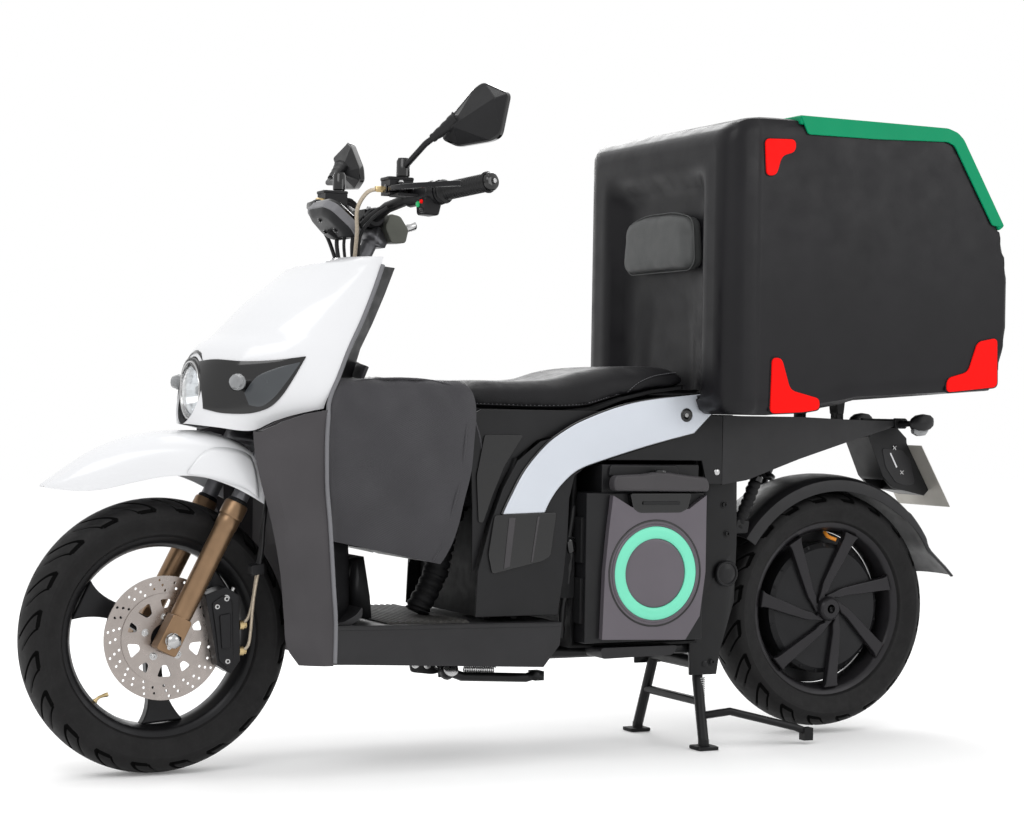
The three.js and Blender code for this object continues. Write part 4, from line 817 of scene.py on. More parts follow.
def caliper_details():
    face = rounded([(-704, 322), (-680, 338), (-664, 326), (-660, 222), (-672, 200), (-688, 214),
                    (-694, 262)], 6)
    parts = [side_prism("face", face, 90, 96, None, ALLOY, bevel=2.5)]
    ridge = rounded([(-690, 300), (-668, 304), (-667, 240), (-684, 236)], 5)
    parts.append(side_prism("ridge", ridge, 96, 100, None, ALLOY, bevel=2))
    for y, z in ((-694, 316), (-672, 214), (-676, 330)):
        parts.append(bolt((92, y, z), (1, 0, 0), 5, 6))
    for z in (279, 231):
        parts.append(turned("banjo", [(0.01, 0), (7, 0), (7, 12), (0.01, 12)], (74, -650, z), (0, 1, 0),
                            None, BRASS, sides=24))
        parts.append(turned("eye", [(9, -4), (9, 4), (4, 4), (4, -4), (9, -4)], (82, -642, z), (0, 1, 0),
                            None, BRASS, sides=24))
        parts.append(turned("head", [(0.01, 0), (6, 0), (6, 6), (0.01, 6)], (82, -638, z), (0, 1, 0), None,
                            BRASS, sides=6))
    parts.append(turned("bleed", [(0.01, 0), (3.5, 0), (3.5, 12), (0.01, 13)], (80, -662, 338), (0, 0.5, 1),
                        None, STEEL, sides=12))
    gather("caliper_details", parts, "fork_lower")


def brake_lines():
    made = []
    for k, (z, dx) in enumerate(((281, 0), (233, 9))):
        points = [(82 + dx * 0.2, -638, z), (86 + dx * 0.4, -628, z + 16), (90 + dx, -622 - 2 * k, 330),
                  (92 + dx, -616, 380)]
        made.append(tube(f"line{k}", points, 3.0, None, BRAID))
    clamp = [(-632, 372), (-606, 376), (-606, 396), (-632, 392)]
    made.append(side_prism("clamp", rounded(clamp, 4), 84, 108, None, SATIN, bevel=2))
    gather("brake_lines_low", made, "fork_lower")
    for k, dx in enumerate((0, 10)):
        points = [(92 + dx, -617, 380), (94 + dx, -611, 420), (92 + dx * 0.6, -606, 466), (74, -590, 530),
                  (56 - dx, -574, 590), (40, -556, 640)]
        hose = tube(f"brake_hose_{k + 1}", points, 3.6, None, CABLE, steps=8)
        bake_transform(hose)
        if k == 0:
            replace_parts(hose, "front_brake_hose")


GUARD_ROWS = [(-1000, 540, 20, 534), (-978, 556, 34, 531), (-945, 580, 50, 529), (-905, 604, 62, 532),
              (-850, 626, 74, 545), (-790, 638, 88, 557), (-730, 641, 104, 556), (-680, 638, 115, 541),
              (-640, 622, 118, 522), (-612, 604, 116, 506)]


def mudguard():
    rings = []
    for i in range(61):
        y = -1000 + 388 * i / 60
        top, half, low = (read([(row[0], row[k]) for row in GUARD_ROWS], y) for k in (1, 2, 3))
        arch = [(-half * 0.985, low), (-half, low + (top - low) * 0.3),
                (-half * 0.93, low + (top - low) * 0.6), (-half * 0.72, low + (top - low) * 0.86),
                (-half * 0.36, top - 3), (0, top), (half * 0.36, top - 3),
                (half * 0.72, low + (top - low) * 0.86), (half * 0.93, low + (top - low) * 0.6),
                (half, low + (top - low) * 0.3), (half * 0.985, low)]
        rings.append([(x, y, z) for x, z in flat_curve(arch, 4)])
    shell = show("mudguard_shell", mesh_of("mudguard_shell", *skin(rings, closed=False, caps=False)),
                 "steering", WHITE, "white_paint", sharp=60)
    thicken(shell, 3.2)
    soften(shell, 1.2, 2, 50)
    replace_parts(shell, "front_mudguard")
    for word, side in SIDES:
        rings = []
        for i in range(17):
            t = i / 16
            high = [read([(0, -756), (0.2, -730), (0.42, -700), (0.78, -654), (1, -634)], t),
                    read([(0, 567), (0.2, 600), (0.42, 611), (0.78, 605), (1, 594)], t)]
            low = [read([(0, -756), (0.45, -692), (0.8, -648), (1, -625)], t),
                   read([(0, 562), (0.45, 548), (0.8, 534), (1, 517)], t)]
            ring = []
            for k in range(7):
                y, z = (high[n] + (low[n] - high[n]) * k / 6 for n in (0, 1))
                top, half, base = (read([(row[0], row[n]) for row in GUARD_ROWS], y) for n in (1, 2, 3))
                lean = read([(0, 0.985), (0.3, 1), (0.6, 0.93), (0.86, 0.72)], (z - base) / (top - base))
                ring.append((side * (half * lean + 1.2 + 1.6 * ease((592 - z) / 30)), y, z))
            rings.append(ring)
        flare = show(f"mudguard_flare_{word}", mesh_of("flare", *skin(rings, closed=False, caps=False)),
                     "steering", WHITE, "white_paint", sharp=50)
        thicken(flare, 2.4, 0)


for leg_side in (1, -1):
    fork_leg(leg_side)
caliper_details()
brake_lines()
mudguard()


# ------------------------------------------------------------ cowl, leg shield and lamps
RIDER_EDGE = [(209, -499), (290, -499), (351, -504), (472, -514), (556, -522), (683, -519), (743, -497),
              (796, -477), (847, -452), (905, -426), (958, -404), (990, -392)]
NOSE_LINE = [(630, -738), (690, -738), (760, -722), (800, -702), (818, -672), (840, -651), (888, -602),
             (912, -571), (947, -525), (962, -505), (976, -455)]
COWL_HALF = [(630, 148), (683, 168), (760, 178), (850, 176), (920, 168), (976, 158)]
JOIN_LINE = [(-800, 662), (-700, 648), (-643, 643), (-608, 661), (-563, 676), (-500, 688), (-300, 700)]


def cowl_point(t, z):
    """The cowl's surface at angle t from straight ahead and height z."""
    half, back, front = (read(line, z) for line in (COWL_HALF, RIDER_EDGE, NOSE_LINE))
    s, c = math.sin(t), max(0.0, math.cos(t))
    return (half * math.copysign(abs(s) ** 0.85, s), back + (front - back) * c ** 1.1, z)


def cowl_side(y, z, side, lift):
    """The cowl's surface at a side-view point."""
    back, front = read(RIDER_EDGE, z), read(NOSE_LINE, z)
    c = min(1.0, max(0.0, (y - back) / (front - back))) ** (1 / 1.1)
    half = read(COWL_HALF, z)
    x = half * math.sqrt(max(0.0, 1 - c * c)) ** 0.85
    out = Vector((side * x / half, -c * 0.9, 0)).normalized()
    return (side * x + out.x * lift, y + out.y * lift, z)


def cowl():
    top = 974
    columns, rows = 56, 44
    rings = []
    for j in range(rows + 1):
        ring = []
        for i in range(columns + 1):
            t = -math.pi / 2 + math.pi * i / columns
            low = 660
            for _ in range(12):
                low = read(JOIN_LINE, cowl_point(t, low)[1])
            ring.append(cowl_point(t, low + (top - low) * ease(j / rows) ** 0.9))
        rings.append(ring)
    points, faces = skin(rings, closed=False, caps=False)
    count = len(rings[0])
    faces.append(tuple(rows * count + i for i in range(count)))
    shell = show("cowl_shell", mesh_of("cowl_shell", points, faces), None, WHITE, "white_paint", sharp=40)
    thicken(shell, 3.5)
    hole = turned("hole", [(0.01, 0), (64, 0), (64, 190), (0.01, 190)], (0, -820, 716), (0, 1, 0), None, MATT)
    carve(shell, [hole])
    shell.data.set_sharp_from_angle(angle=math.radians(40))
    soften(shell, 2.0, 3, 50)
    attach(shell, "frame")
    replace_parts(shell, "front_cowl")


def patch(name, upper, lower, place, body, material, **more):
    """A curved panel between two side-view lines of equal length, laid on a surface by place(y, z, lift)."""
    steps, rows, thick = 8, 10, 2.0
    top, low = flat_curve(upper, steps), flat_curve(lower, steps)
    rings = []
    for j in range(rows + 1):
        s = j / rows
        rings.append([place(a[0] + (b[0] - a[0]) * s, a[1] + (b[1] - a[1]) * s, thick)
                      for a, b in zip(top, low)])
    sheet = show(name, mesh_of(name, *skin(rings, closed=False, caps=False)), body, material, sharp=50,
                 **more)
    thicken(sheet, thick)
    soften(sheet, 0.7, 2, 50)
    return sheet


def lamps():
    for word, side in SIDES:
        place = lambda y, z, lift: cowl_side(y, z, side, lift)
        upper = [(-722, 768), (-700, 774), (-660, 771), (-610, 774), (-556, 782)]
        lower = [(-720, 682), (-690, 674), (-640, 677), (-602, 702), (-556, 780)]
        patch(f"lamp_surround_{word}", upper, lower, place, "frame", GLOSS, slot="black_plastic")
        inner_up = [(-660, 712), (-640, 742), (-610, 758), (-585, 766), (-566, 771)]
        inner_low = [(-652, 690), (-632, 688), (-612, 704), (-592, 731), (-567, 768)]
        proud = lambda y, z, lift: cowl_side(y, z, side, lift + 2.4)
        patch(f"lamp_facet_{word}", inner_up, inner_low, proud, "frame", SMOKE, slot="black_plastic")
        rod_in = cowl_side(-676, 726, side, -4)
        tip = (side * 168, -688, 732)
        tube(f"indicator_boot_{word}", [rod_in, (side * 152, -682, 729), tip], 9, "frame", SATIN,
             slot="black_plastic", wave=lambda t: 11 - 5 * t, steps=5)
        lens = [(0.01, 15), (8, 14.4), (12, 12), (13.6, 6), (13.6, 2), (15.6, 1.4), (15.6, -3), (12, -11),
                (7, -16), (0.01, -18)]
        bulb = turned(f"indicator_lens_{word}", lens, tip, (side * 0.75, -0.65, 0.05), "frame", LENS_GREY,
                      sides=12, sharp=12, slot="clear_lens")
        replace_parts(bulb, f"indicator_front_{word}")
    bezel = [(53, -8), (57, -14), (61, -14), (63.4, -8), (63.4, 26), (58, 30), (54, 26), (53, -8)]
    turned("headlamp_bezel", bezel, HEADLAMP, (0, 1, 0), "frame", GLOSS, sides=96, slot="black_plastic")
    rim = [(51, -12), (52.5, -17), (55, -18), (57, -15), (57, -9), (52, -9), (51, -12)]
    turned("headlamp_rim", rim, HEADLAMP, (0, 1, 0), "frame", STEEL, sides=96, slot="bright_steel")
    bowl = [(51, -8), (48, 2), (40, 14), (28, 22), (12, 26), (0.01, 26)]
    turned("headlamp_bowl", bowl, HEADLAMP, (0, 1, 0), "frame", MIRROR_BOWL, sides=24, sharp=8,
           slot="clear_lens")
    bulb = [(0.01, -4), (8, -3), (10, 4), (9, 24)]
    turned("headlamp_bulb", bulb, HEADLAMP, (0, 1, 0), "frame", LENS_GREY, sides=24, slot="clear_lens")
    glass = [(0.01, -25), (16, -24), (32, -20.5), (44, -16), (51.5, -12), (51.5, -9), (44, -13),
             (32, -17.5), (16, -21), (0.01, -22)]
    lens = turned("headlamp_glass", glass, HEADLAMP, (0, 1, 0), "frame", CLEAR, sides=96, slot="clear_lens")
    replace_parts(lens, "headlamp_lens")
    brow = [(62, -6), (66, -10), (70, -6), (70, 10), (66, 16), (62, 16), (62, -6)]
    turned("headlamp_surround", brow, (0, -704, 722), (0, 1, 0), "frame", GLOSS, sides=96,
           slot="black_plastic")


def shield_ring(z):
    front = [(209, -556), (243, -580), (299, -587), (389, -597), (475, -615), (554, -638), (608, -650),
             (690, -656)]
    ridge = [(209, -522), (303, -559), (415, -577), (537, -613), (623, -622), (690, -628)]
    back = [(209, -478), (420, -478), (520, -508), (690, -512)]
    yf, yb, ye, yc = read(front, z), read(ridge, z), read(RIDER_EDGE, z), read(back, z)
    turn = yb + (ye - yb) * 0.4
    half = [(60, yc - 4), (94, yc - 9), (128, -516), (153, -536), (153, yf + 7), (160, yf),
            (175, yf + (yb - yf) * 0.48), (186, yb), (189, yb + (turn - yb) * 0.5), (190, turn), (190, ye),
            (185, ye), (185, turn), (181, yb + 6), (158, yf + 12), (158, -534), (131, -512), (96, yc - 5),
            (60, yc)]
    return [(x, y, z) for x, y in half] + [(-x, y, z) for x, y in half[::-1]]


def leg_shield():
    rings = [shield_ring(209 + 481 * i / 40) for i in range(41)]
    shell = show("leg_shield_shell", mesh_of("leg_shield_shell", *skin(rings)), None, SHIELD,
                 "black_plastic", sharp=38)
    above = [(-300, 701), (-500, 687), (-563, 675), (-608, 660), (-643, 642), (-700, 647), (-800, 661),
             (-800, 900), (-300, 900)]
    tools = [solid_between("above", above, -300, 300),
             solid_between("window", [(-600, 600), (-500, 600), (-500, 700), (-600, 700)], -70, 70)]
    carve(shell, tools)
    shell.data.set_sharp_from_angle(angle=math.radians(32))
    soften(shell, 1.8, 3, 40)
    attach(shell, "frame")
    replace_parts(shell, "leg_shield")
    for word, side in SIDES:
        half = [(209, 190), (683, 190), (700, 177), (760, 178.5), (850, 176.5), (920, 168.5), (972, 160)]
        lip = [(side * read(half, z), read(RIDER_EDGE, z) + 3, z) for z in range(214, 972, 24)]
        tube(f"edge_strip_{word}", lip, 4.2, "frame", GREY_EDGE_AND_HIGHLIGHT, steps=2, sides=10, slot="grey_plastic")


cowl()
lamps()
leg_shield()


# ------------------------------------------------------------ cargo box
BOX_LOW = [(282, 716), (290, 696), (304, 687), (393, 686), (512, 697), (605, 720), (960, 746), (982, 840),
           (990, 883)]
BOX_HIGH = [(282, 1232), (290, 1254), (306, 1268), (330, 1278), (376, 1284), (812, 1284), (832, 1281),
            (850, 1268), (966, 1088), (983, 1020), (990, 980)]


def straight(table, key):
    """Straight-line reading of a table of (key, value) rows."""
    for (x0, y0), (x1, y1) in zip(table, table[1:]):
        if key <= x1:
            t = max(0.0, (key - x0) / (x1 - x0))
            return y0 + (y1 - y0) * t
    return table[-1][1]


def resample(outline, count):
    """The closed outline as evenly spaced points."""
    loop = [Vector(p) for p in outline] + [Vector(outline[0])]
    lengths = [(b - a).length for a, b in zip(loop, loop[1:])]
    total = sum(lengths)
    out = []
    k, done = 0, 0.0
    for i in range(count):
        want = total * i / count
        while done + lengths[k] < want:
            done += lengths[k]
            k += 1
        out.append(tuple(loop[k] + (loop[k + 1] - loop[k]) * ((want - done) / lengths[k])))
    return out


def scoop(x, z):
    """How far the front of the box is pressed in, where the rider sits."""
    across = ease((206 - abs(x)) / 66)
    deeper = 10 * ease((122 - abs(x)) / 40) * ease((985 - z) / 90)
    return (40 * ease((1196 - z) / 66) + deeper) * across


def box_solid(inset):
    """The moulded box, or its inside when inset."""
    count = 132
    stations = [282, 286, 290, 296, 304, 314, 326, 340, 350, 356, 362, 368, 400, 470, 560, 605, 700, 780,
                812, 832, 850, 880, 920, 950, 966, 978, 986, 990]
    rings = []
    for y in stations:
        front = max(0.0, BOX_FRONT_ROUND - (y - BOX_FRONT))
        back = max(0.0, BOX_BACK_ROUND - (BOX_BACK - y))
        front_round = BOX_FRONT_ROUND - math.sqrt(max(0.0, BOX_FRONT_ROUND ** 2 - front ** 2))
        back_round = BOX_BACK_ROUND - math.sqrt(max(0.0, BOX_BACK_ROUND ** 2 - back ** 2))
        half = BOX_HALF - front_round - back_round
        half -= 3.5 * ease((y - 350) / 14) + inset
        low, high = straight(BOX_LOW, y) + inset, straight(BOX_HIGH, y) - inset
        outline = rounded([(0, low), (half, low), (half, high), (-half, high), (-half, low)], 20, 6)
        squeeze = 636 + (y - 636) * (1 - inset / 354)
        rings.append([(x, squeeze, z) for x, z in resample(outline, count)])
    middle = 975
    cap = []
    for share in (0.0, 0.12, 0.24, 0.35, 0.45, 0.54, 0.62, 0.69, 0.75, 0.8, 0.845, 0.885, 0.92, 0.95, 0.975):
        cap.append([(x * share, rings[0][0][1] + scoop(x * share, middle + (z - middle) * share),
                     middle + (z - middle) * share) for x, _, z in rings[0]])
    points, faces = skin(cap[1:] + rings, caps=False)
    points.append((0, rings[0][0][1] + scoop(0, middle), middle))
    faces += [(len(points) - 1, (i + 1) % count, i) for i in range(count)]
    faces.append(tuple(len(points) - 1 - count + i for i in range(count)))
    return points, faces


def cargo_box():
    shell = show("cargo_box_shell", mesh_of("cargo_box_shell", *box_solid(0)), None, BOX, "black_plastic",
                 sharp=40)
    opening = [(451.6, 1272), (451.6, 1400), (1100, 1400), (1100, 1070), (960, 1083.5), (846, 1262),
               (816, 1272)]
    mouth = [(461, 1240), (461, 1400), (872, 1400), (956, 1120), (952, 1084), (846, 1240)]
    tools = [solid_between("notch", rounded([(200, 600), (338, 600), (338, 736), (200, 736)], 10), -182, 182),
             solid_between("opening", opening, -400, 400),
             cutter("room", *box_solid(8)),
             solid_between("mouth", mouth, -274, 274)]
    carve(shell, tools)
    shell.data.shade_smooth()
    shell.data.set_sharp_from_angle(angle=math.radians(42))
    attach(shell, "frame")
    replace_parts(shell, "cargo_box")
    guards = {}
    guards["front_top"] = [(367, 1238), (441, 1241), (441, 1216), (408, 1206), (396, 1166), (372, 1164)]
    guards["front_low"] = [(393, 802), (416, 802), (438, 738), (509, 722), (509, 700), (470, 694), (390, 690)]
    guards["rear_low"] = [(908, 848), (960, 858), (962, 754), (828, 740), (830, 770), (884, 784)]
    for name, outline in guards.items():
        smooth = rounded(outline, 13, 6)
        both_sides(f"red_guard_{name}", smooth, 285.6, 290.4, "frame", RED, bevel=1.6, segments=3,
                   slot="black_plastic")
        mid_y, mid_z = (sum(p[k] for p in outline) / len(outline) for k in (0, 1))
        rim = [(y + (y - mid_y) * 0.05, z + (z - mid_z) * 0.05) for y, z in smooth]
        both_sides(f"guard_recess_{name}", rim, 285.4, 287.6, "frame", MATT, bevel=0.6, slot="black_plastic")
    strip = [(451, 1290), (640, 1290.5), (821, 1290.5), (846, 1283), (862, 1270), (973, 1093), (941, 1094),
             (838, 1255), (820, 1262), (640, 1255), (470, 1253)]
    both_sides("lid_flange", rounded(strip, 6, 4), 286.9, 291.4, "cargo_lid", GREEN, bevel=1.4, segments=3,
               slot="green_plastic")
    posts = [(700, 690), (716, 690), (722, 742), (694, 742)]
    both_sides("rack_foot", rounded(posts, 4), 54, 84, "frame", FRAME_STEEL, bevel=1.5, slot="frame_steel")
    for word, side in SIDES:
        hinge = [(0.01, -28), (7, -28), (7, -10), (5.5, -10), (5.5, 10), (7, 10), (7, 28), (0.01, 28)]
        turned(f"lid_hinge_{word}", hinge, (side * 170, 447, 1283), (1, 0, 0), "frame", MATT, sides=24,
               slot="black_plastic")


cargo_box()


# ------------------------------------------------------------ soft pieces
def puff(obj, limit, voxel):
    """Remeshes a soft piece evenly, blows it up a little with the cloth solver and keeps the result."""
    even = obj.modifiers.new("even", "REMESH")
    even.mode = "VOXEL"
    even.voxel_size = voxel * MM
    bpy.context.view_layer.update()
    mesh = bpy.data.meshes.new_from_object(obj.evaluated_get(bpy.context.evaluated_depsgraph_get()))
    obj.modifiers.clear()
    obj.data = mesh
    material = mesh.materials[0] if mesh.materials else None
    start = [v.co.copy() for v in mesh.vertices]
    cloth = obj.modifiers.new("cloth", "CLOTH")
    cloth.settings.quality = 4
    cloth.settings.mass = 0.3
    cloth.settings.tension_stiffness = 18
    cloth.settings.compression_stiffness = 12
    cloth.settings.bending_stiffness = 0.6
    cloth.settings.use_pressure = True
    cloth.settings.uniform_pressure_force = 4.0
    cloth.settings.effector_weights.gravity = 0
    cloth.point_cache.frame_start = 1
    cloth.point_cache.frame_end = 20
    for frame_number in range(1, 21):
        scene.frame_set(frame_number)
    blown = obj.evaluated_get(bpy.context.evaluated_depsgraph_get()).to_mesh()
    ends = [v.co.copy() for v in blown.vertices]
    obj.evaluated_get(bpy.context.evaluated_depsgraph_get()).to_mesh_clear()
    obj.modifiers.clear()
    scene.frame_set(1)
    for vertex, a, b in zip(mesh.vertices, start, ends):
        step = b - a
        if step.length > limit * MM:
            step *= limit * MM / step.length
        vertex.co = a + step
    bm = bmesh.new()
    bm.from_mesh(mesh)
    for _ in range(3):
        bmesh.ops.smooth_vert(bm, verts=bm.verts, factor=0.5, use_axis_x=True, use_axis_y=True,
                              use_axis_z=True)
    bm.to_mesh(mesh)
    bm.free()
    mesh.shade_smooth()
    mesh.materials.clear()
    mesh.materials.append(material or VINYL)
    return obj


SEAT_ROWS = [(-208, 52, 708, 722), (-204, 66, 704, 730), (-194, 84, 698, 738), (-176, 96, 694, 742),
             (-160, 104, 692, 745), (-80, 122, 690, 746), (0, 136, 690, 752), (60, 148, 697, 768),
             (120, 152, 716, 777), (200, 152, 734, 781), (262, 148, 742, 778), (282, 138, 746, 770),
             (291, 122, 750, 763)]


def seat_ring(y, tight=0.0):
    half, low, high = (read([(row[0], row[k]) for row in SEAT_ROWS], y) for k in (1, 2, 3))
    half, low, high = half - tight, low + tight * 0.4, high - tight
    tall = high - low
    dish = 5 * ease((y + 120) / 120) * ease((210 - y) / 90)
    section = [(0, low), (half * 0.8, low), (half, low + 2), (half, low + tall * 0.42),
               (half * 0.96, low + tall * 0.68), (half * 0.86, low + tall * 0.86), (half * 0.66, high - 1),
               (half * 0.36, high - dish * 0.7), (0, high - dish)]
    right = section[:2] + flat_curve(section[2:], 4)
    return [(x, y, z) for x, z in right] + [(-x, y, z) for x, z in right[-2:0:-1]]


def seam(name, rows, surface, side, body):
    """A stitched seam laid on one side of a surface, from (y, z) points."""
    radius, stitch, proud = 0.9, 4.6, 0.2
    tree = BVHTree.FromObject(surface, bpy.context.evaluated_depsgraph_get())
    line = []
    for y, z in flat_curve(rows, 14):
        hit, normal, _, _ = tree.ray_cast(Vector((side * 0.4, y * MM, z * MM)), Vector((-side, 0, 0)))
        if hit:
            line.append(tuple((hit + normal * proud * MM) / MM))
    if len(line) < 4:
        return
    parts = [tube("fold", [line[i] for i in range(0, len(line), 2)], radius * 1.3, None, VINYL, steps=2,
                  sides=8)]
    path = [Vector(p) for p in line]
    gone = 0.0
    for a, b in zip(path, path[1:]):
        gone += (b - a).length
        if gone >= stitch:
            along = (b - a).normalized()
            at = b + Vector((side * 0.9, 0, 1.6))
            parts.append(tube("stitch", [tuple(at - along * 1.3), tuple(at), tuple(at + along * 1.3)], 0.55,
                              None, STITCH, steps=1, sides=5))
            gone = 0.0
    gather(name, parts, body)


def seat():
    stations = [-208, -206, -202, -196, -188] + list(range(-176, 272, 12)) + [276, 284, 290]
    rings = [seat_ring(y, 2.5) for y in stations]
    cushion = show("seat_cushion", mesh_of("seat_cushion", *skin(rings)), None, VINYL, "seat_vinyl", sharp=60)
    puff(cushion, 4.0, 6.0)
    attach(cushion, "seat_unit")
    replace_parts(cushion, "seat")
    bpy.context.view_layer.update()
    rear_seam = [(140, 716), (150, 732), (172, 748), (205, 760), (240, 766), (272, 769)]
    low_seam = [(-170, 699), (-120, 698), (-60, 697), (0, 698), (50, 702), (95, 714), (130, 724)]
    for word, side in SIDES:
        seam(f"seat_seam_rear_{word}", rear_seam, cushion, side, "seat_unit")
        seam(f"seat_seam_low_{word}", low_seam, cushion, side, "seat_unit")
    base = [(-196, 690), (-160, 683), (-60, 681), (20, 681), (70, 690), (130, 712), (200, 727), (270, 736),
            (270, 742), (200, 733), (130, 718), (66, 696), (16, 689), (-60, 689), (-160, 691), (-192, 697)]
    for word, side in SIDES:
        rings = []
        for y, z in base:
            half = read([(row[0], row[1]) for row in SEAT_ROWS], y) - 4
            rings.append([(side * half, y, z), (side * (half + 3.6), y, z)])
        points = [p for pair in rings for p in pair]
        n = len(rings)
        faces = [(2 * i, 2 * i + 1, 2 * ((i + 1) % n) + 1, 2 * ((i + 1) % n)) for i in range(n)]
        faces += [tuple(2 * i for i in range(n))[::-1], tuple(2 * i + 1 for i in range(n))]
        show(f"seat_edge_{word}", mesh_of("seat_edge", points, faces), "seat_unit", MATT, "black_plastic",
             sharp=30)


def back_pad():
    outline = [(-142, -46), (-134, 46), (-60, 62), (60, 62), (134, 46), (142, -46), (122, -62), (-122, -62)]
    smooth = rounded(outline, 26, 6)
    layers = ((285, 0.5), (285.5, 0.8), (287, 0.9), (291, 0.96), (298, 0.985), (310, 0.99), (324, 0.985))
    rings = [[(x * k, y, 1042 + z * k) for x, z in smooth] for y, k in layers]
    pad = show("back_pad", mesh_of("back_pad", *skin(rings)), None, PAD, "seat_vinyl", sharp=60)
    puff(pad, 3.5, 5.0)
    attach(pad, "frame")
    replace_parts(pad, "backrest_pad")
    edge = rounded([(x * 0.985, 1042 + z * 0.985) for x, z in outline], 26, 6)
    tube("back_pad_piping", [(x, 300, z) for x, z in edge], 1.5, "frame", PAD, steps=1, sides=8,
         slot="seat_vinyl", closed_path=True)


APRON_ROWS = [(396, -414, -290, 166), (410, -416, -281, 170), (440, -420, -268, 175),
              (500, -426, -252, 179), (560, -432, -238, 181), (640, -436, -229, 182.5),
              (690, -434, -228, 182), (720, -430, -234, 179), (734, -424, -244, 174),
              (743, -414, -258, 165)]
APRON_SLANT = [(396, 0.21), (560, 0.1), (700, 0.0)]


def apron():
    """Hanging leg cover: a slack body with soft folds, a stitched border and side flaps."""
    rings = []
    for k in range(47):
        z = 396 + 347 * k / 46
        front, back, half = (read([(row[0], row[j]) for row in APRON_ROWS], z) for j in (1, 2, 3))
        edge = read(RIDER_EDGE, z)
        side = [(half * 0.5, back), (half - 15, back), (half - 4, back + 5), (half, back + 17),
                (half + 1, back - 40), (half + 1, (back + edge) / 2), (half + 0.5, edge + 60),
                (half, edge + 12), (half - 9, edge + 13), (half - 11, edge + 80), (half - 56, front),
                (40, front)]
        line = flat_curve(side, 6)
        ring = []
        for x, y in line + [(-x, y) for x, y in line[::-1]]:
            slant = straight(APRON_SLANT, z) * (back - y)
            sign = 1 if x > 0 else -1
            if abs(x) > half - 14 and y > edge + 14:
                run = (back - y) * 0.62 + (743 - z) * 0.5
                across = (back - y) / (back - edge)
                fold = 2.6 * math.sin(run * 0.052 + 0.6) * ease(across * 3) * ease((1 - across) * 3)
                fold += 1.6 * math.sin((z * 0.9 - y * 0.55) * 0.05
                                       + 1.9 * math.sin(z * 0.012)) * ease((1 - across) * 4)
                fold += 1.8 * math.sin(y * 0.11 + z * 0.03) * ease((z - 660) / 70)
                crease = abs(math.sin((z + 0.8 * y) * 0.018 + 1.1)) ** 6 * 2.0
                x += sign * (fold - 2.0 - crease * ease(across * 2.5))
            elif y > back - 12:
                y += 3.0 * math.sin(x * 0.045 + z * 0.02) + 1.6 * math.sin(x * 0.11 - z * 0.013)
            ring.append((x, y, z + slant))
        rings.append(ring)
    top = rings[-1]
    centre = (0, sum(p[1] for p in top) / len(top), 748)
    for share in (0.94, 0.8, 0.6, 0.35, 0.12):
        rings.append([(p[0] * share, centre[1] + (p[1] - centre[1]) * share,
                       p[2] + (1 - share) * 5 + 1.8 * math.sin(p[0] * share * 0.06 + p[1] * 0.05)
                       * (1 - share)) for p in top])
    cover = show("leg_cover_body", mesh_of("leg_cover_body", *skin(rings)), None, CLOTH, "apron_cloth",
                 sharp=70)
    parts = [cover]
    for side in (1, -1):
        upper = []
        for y, z in [(read(RIDER_EDGE, 724) + 18, 729), (-440, 740), (-360, 745), (-290, 741), (-246, 728),
                     (-231, 700), (-230, 640), (-239, 560), (-253, 500), (-270, 440), (-288, 399)]:
            half = read([(row[0], row[3]) for row in APRON_ROWS], min(z, 740))
            upper.append((side * (half - (4 if z > 700 else 2.5)), y, z + straight(APRON_SLANT, z) * 8))
        parts.append(tube("border", upper, 2.4, None, CLOTH, steps=5, sides=8))
        flap_rows = []
        for j in range(15):
            t = j / 14
            y = read([(0, -232), (0.18, -206), (0.4, -188), (0.65, -178), (1.0, -164)], t)
            z = 734 - 222 * t
            flap_rows.append([(side * x, y + 2.5 * math.sin(x * 0.12 + t * 3) + (6 if x > 140 else 0) * t, z)
                              for x in (109, 118, 127, 136, 144, 149)])
        flap = show("flap", mesh_of("flap", *skin(flap_rows, closed=False, caps=False)), None, CLOTH,
                    sharp=70)
        thicken(flap, 5)
        soften(flap, 2, 2)
        parts.append(flap)
    back_layer = []
    for j in range(9):
        t = j / 8
        z = 700 + 80 * t
        back_layer.append([(x, read(RIDER_EDGE, z) + 62 + 18 * (1 - abs(x) / 150) + 4 * math.sin(x * 0.05),
                            z - 10 * (abs(x) / 120) ** 2 * t) for x in range(-132, 133, 12)])
    layer = show("layer", mesh_of("layer", *skin(back_layer, closed=False, caps=False)), None, CLOTH,
                 sharp=70)
    thicken(layer, 6)
    parts.append(layer)
    whole = gather("leg_cover", parts, "frame")
    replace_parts(whole, "apron")


seat()
back_pad()
apron()


# ------------------------------------------------------------ floor, side panels and battery
def floor_details():
    outline = [(-384, 279.6), (-384, 284.6)]
    y = -380
    while y < -216:
        outline += [(y, 284.6), (y + 1.5, 286.2), (y + 6, 286.1), (y + 7.5, 284.4)]
        y += 13
    outline += [(-212, 282.4), (-212, 277.6)]
    outline = [(y, z - 0.0146 * (y + 384) * 0.5) for y, z in outline]
    side_prism("floor_mat", outline, -172, 172, "frame", LINER, bevel=0, slot="black_plastic", sharp=20)
    kick = [(-499, 284), (-470, 288), (-446, 300), (-433, 316), (-433, 296), (-450, 284), (-470, 280),
            (-499, 279)]
    side_prism("floor_kick", rounded(kick, 6), -168, 168, "frame", PANEL, bevel=2, slot="black_plastic")
    rub = [(-497, 281), (-22, 274.5), (-24, 268), (-497, 274.5)]
    both_sides("deck_ledge", rounded(rub, 2), 188.4, 191.6, "frame", PANEL, bevel=1.2, slot="black_plastic")


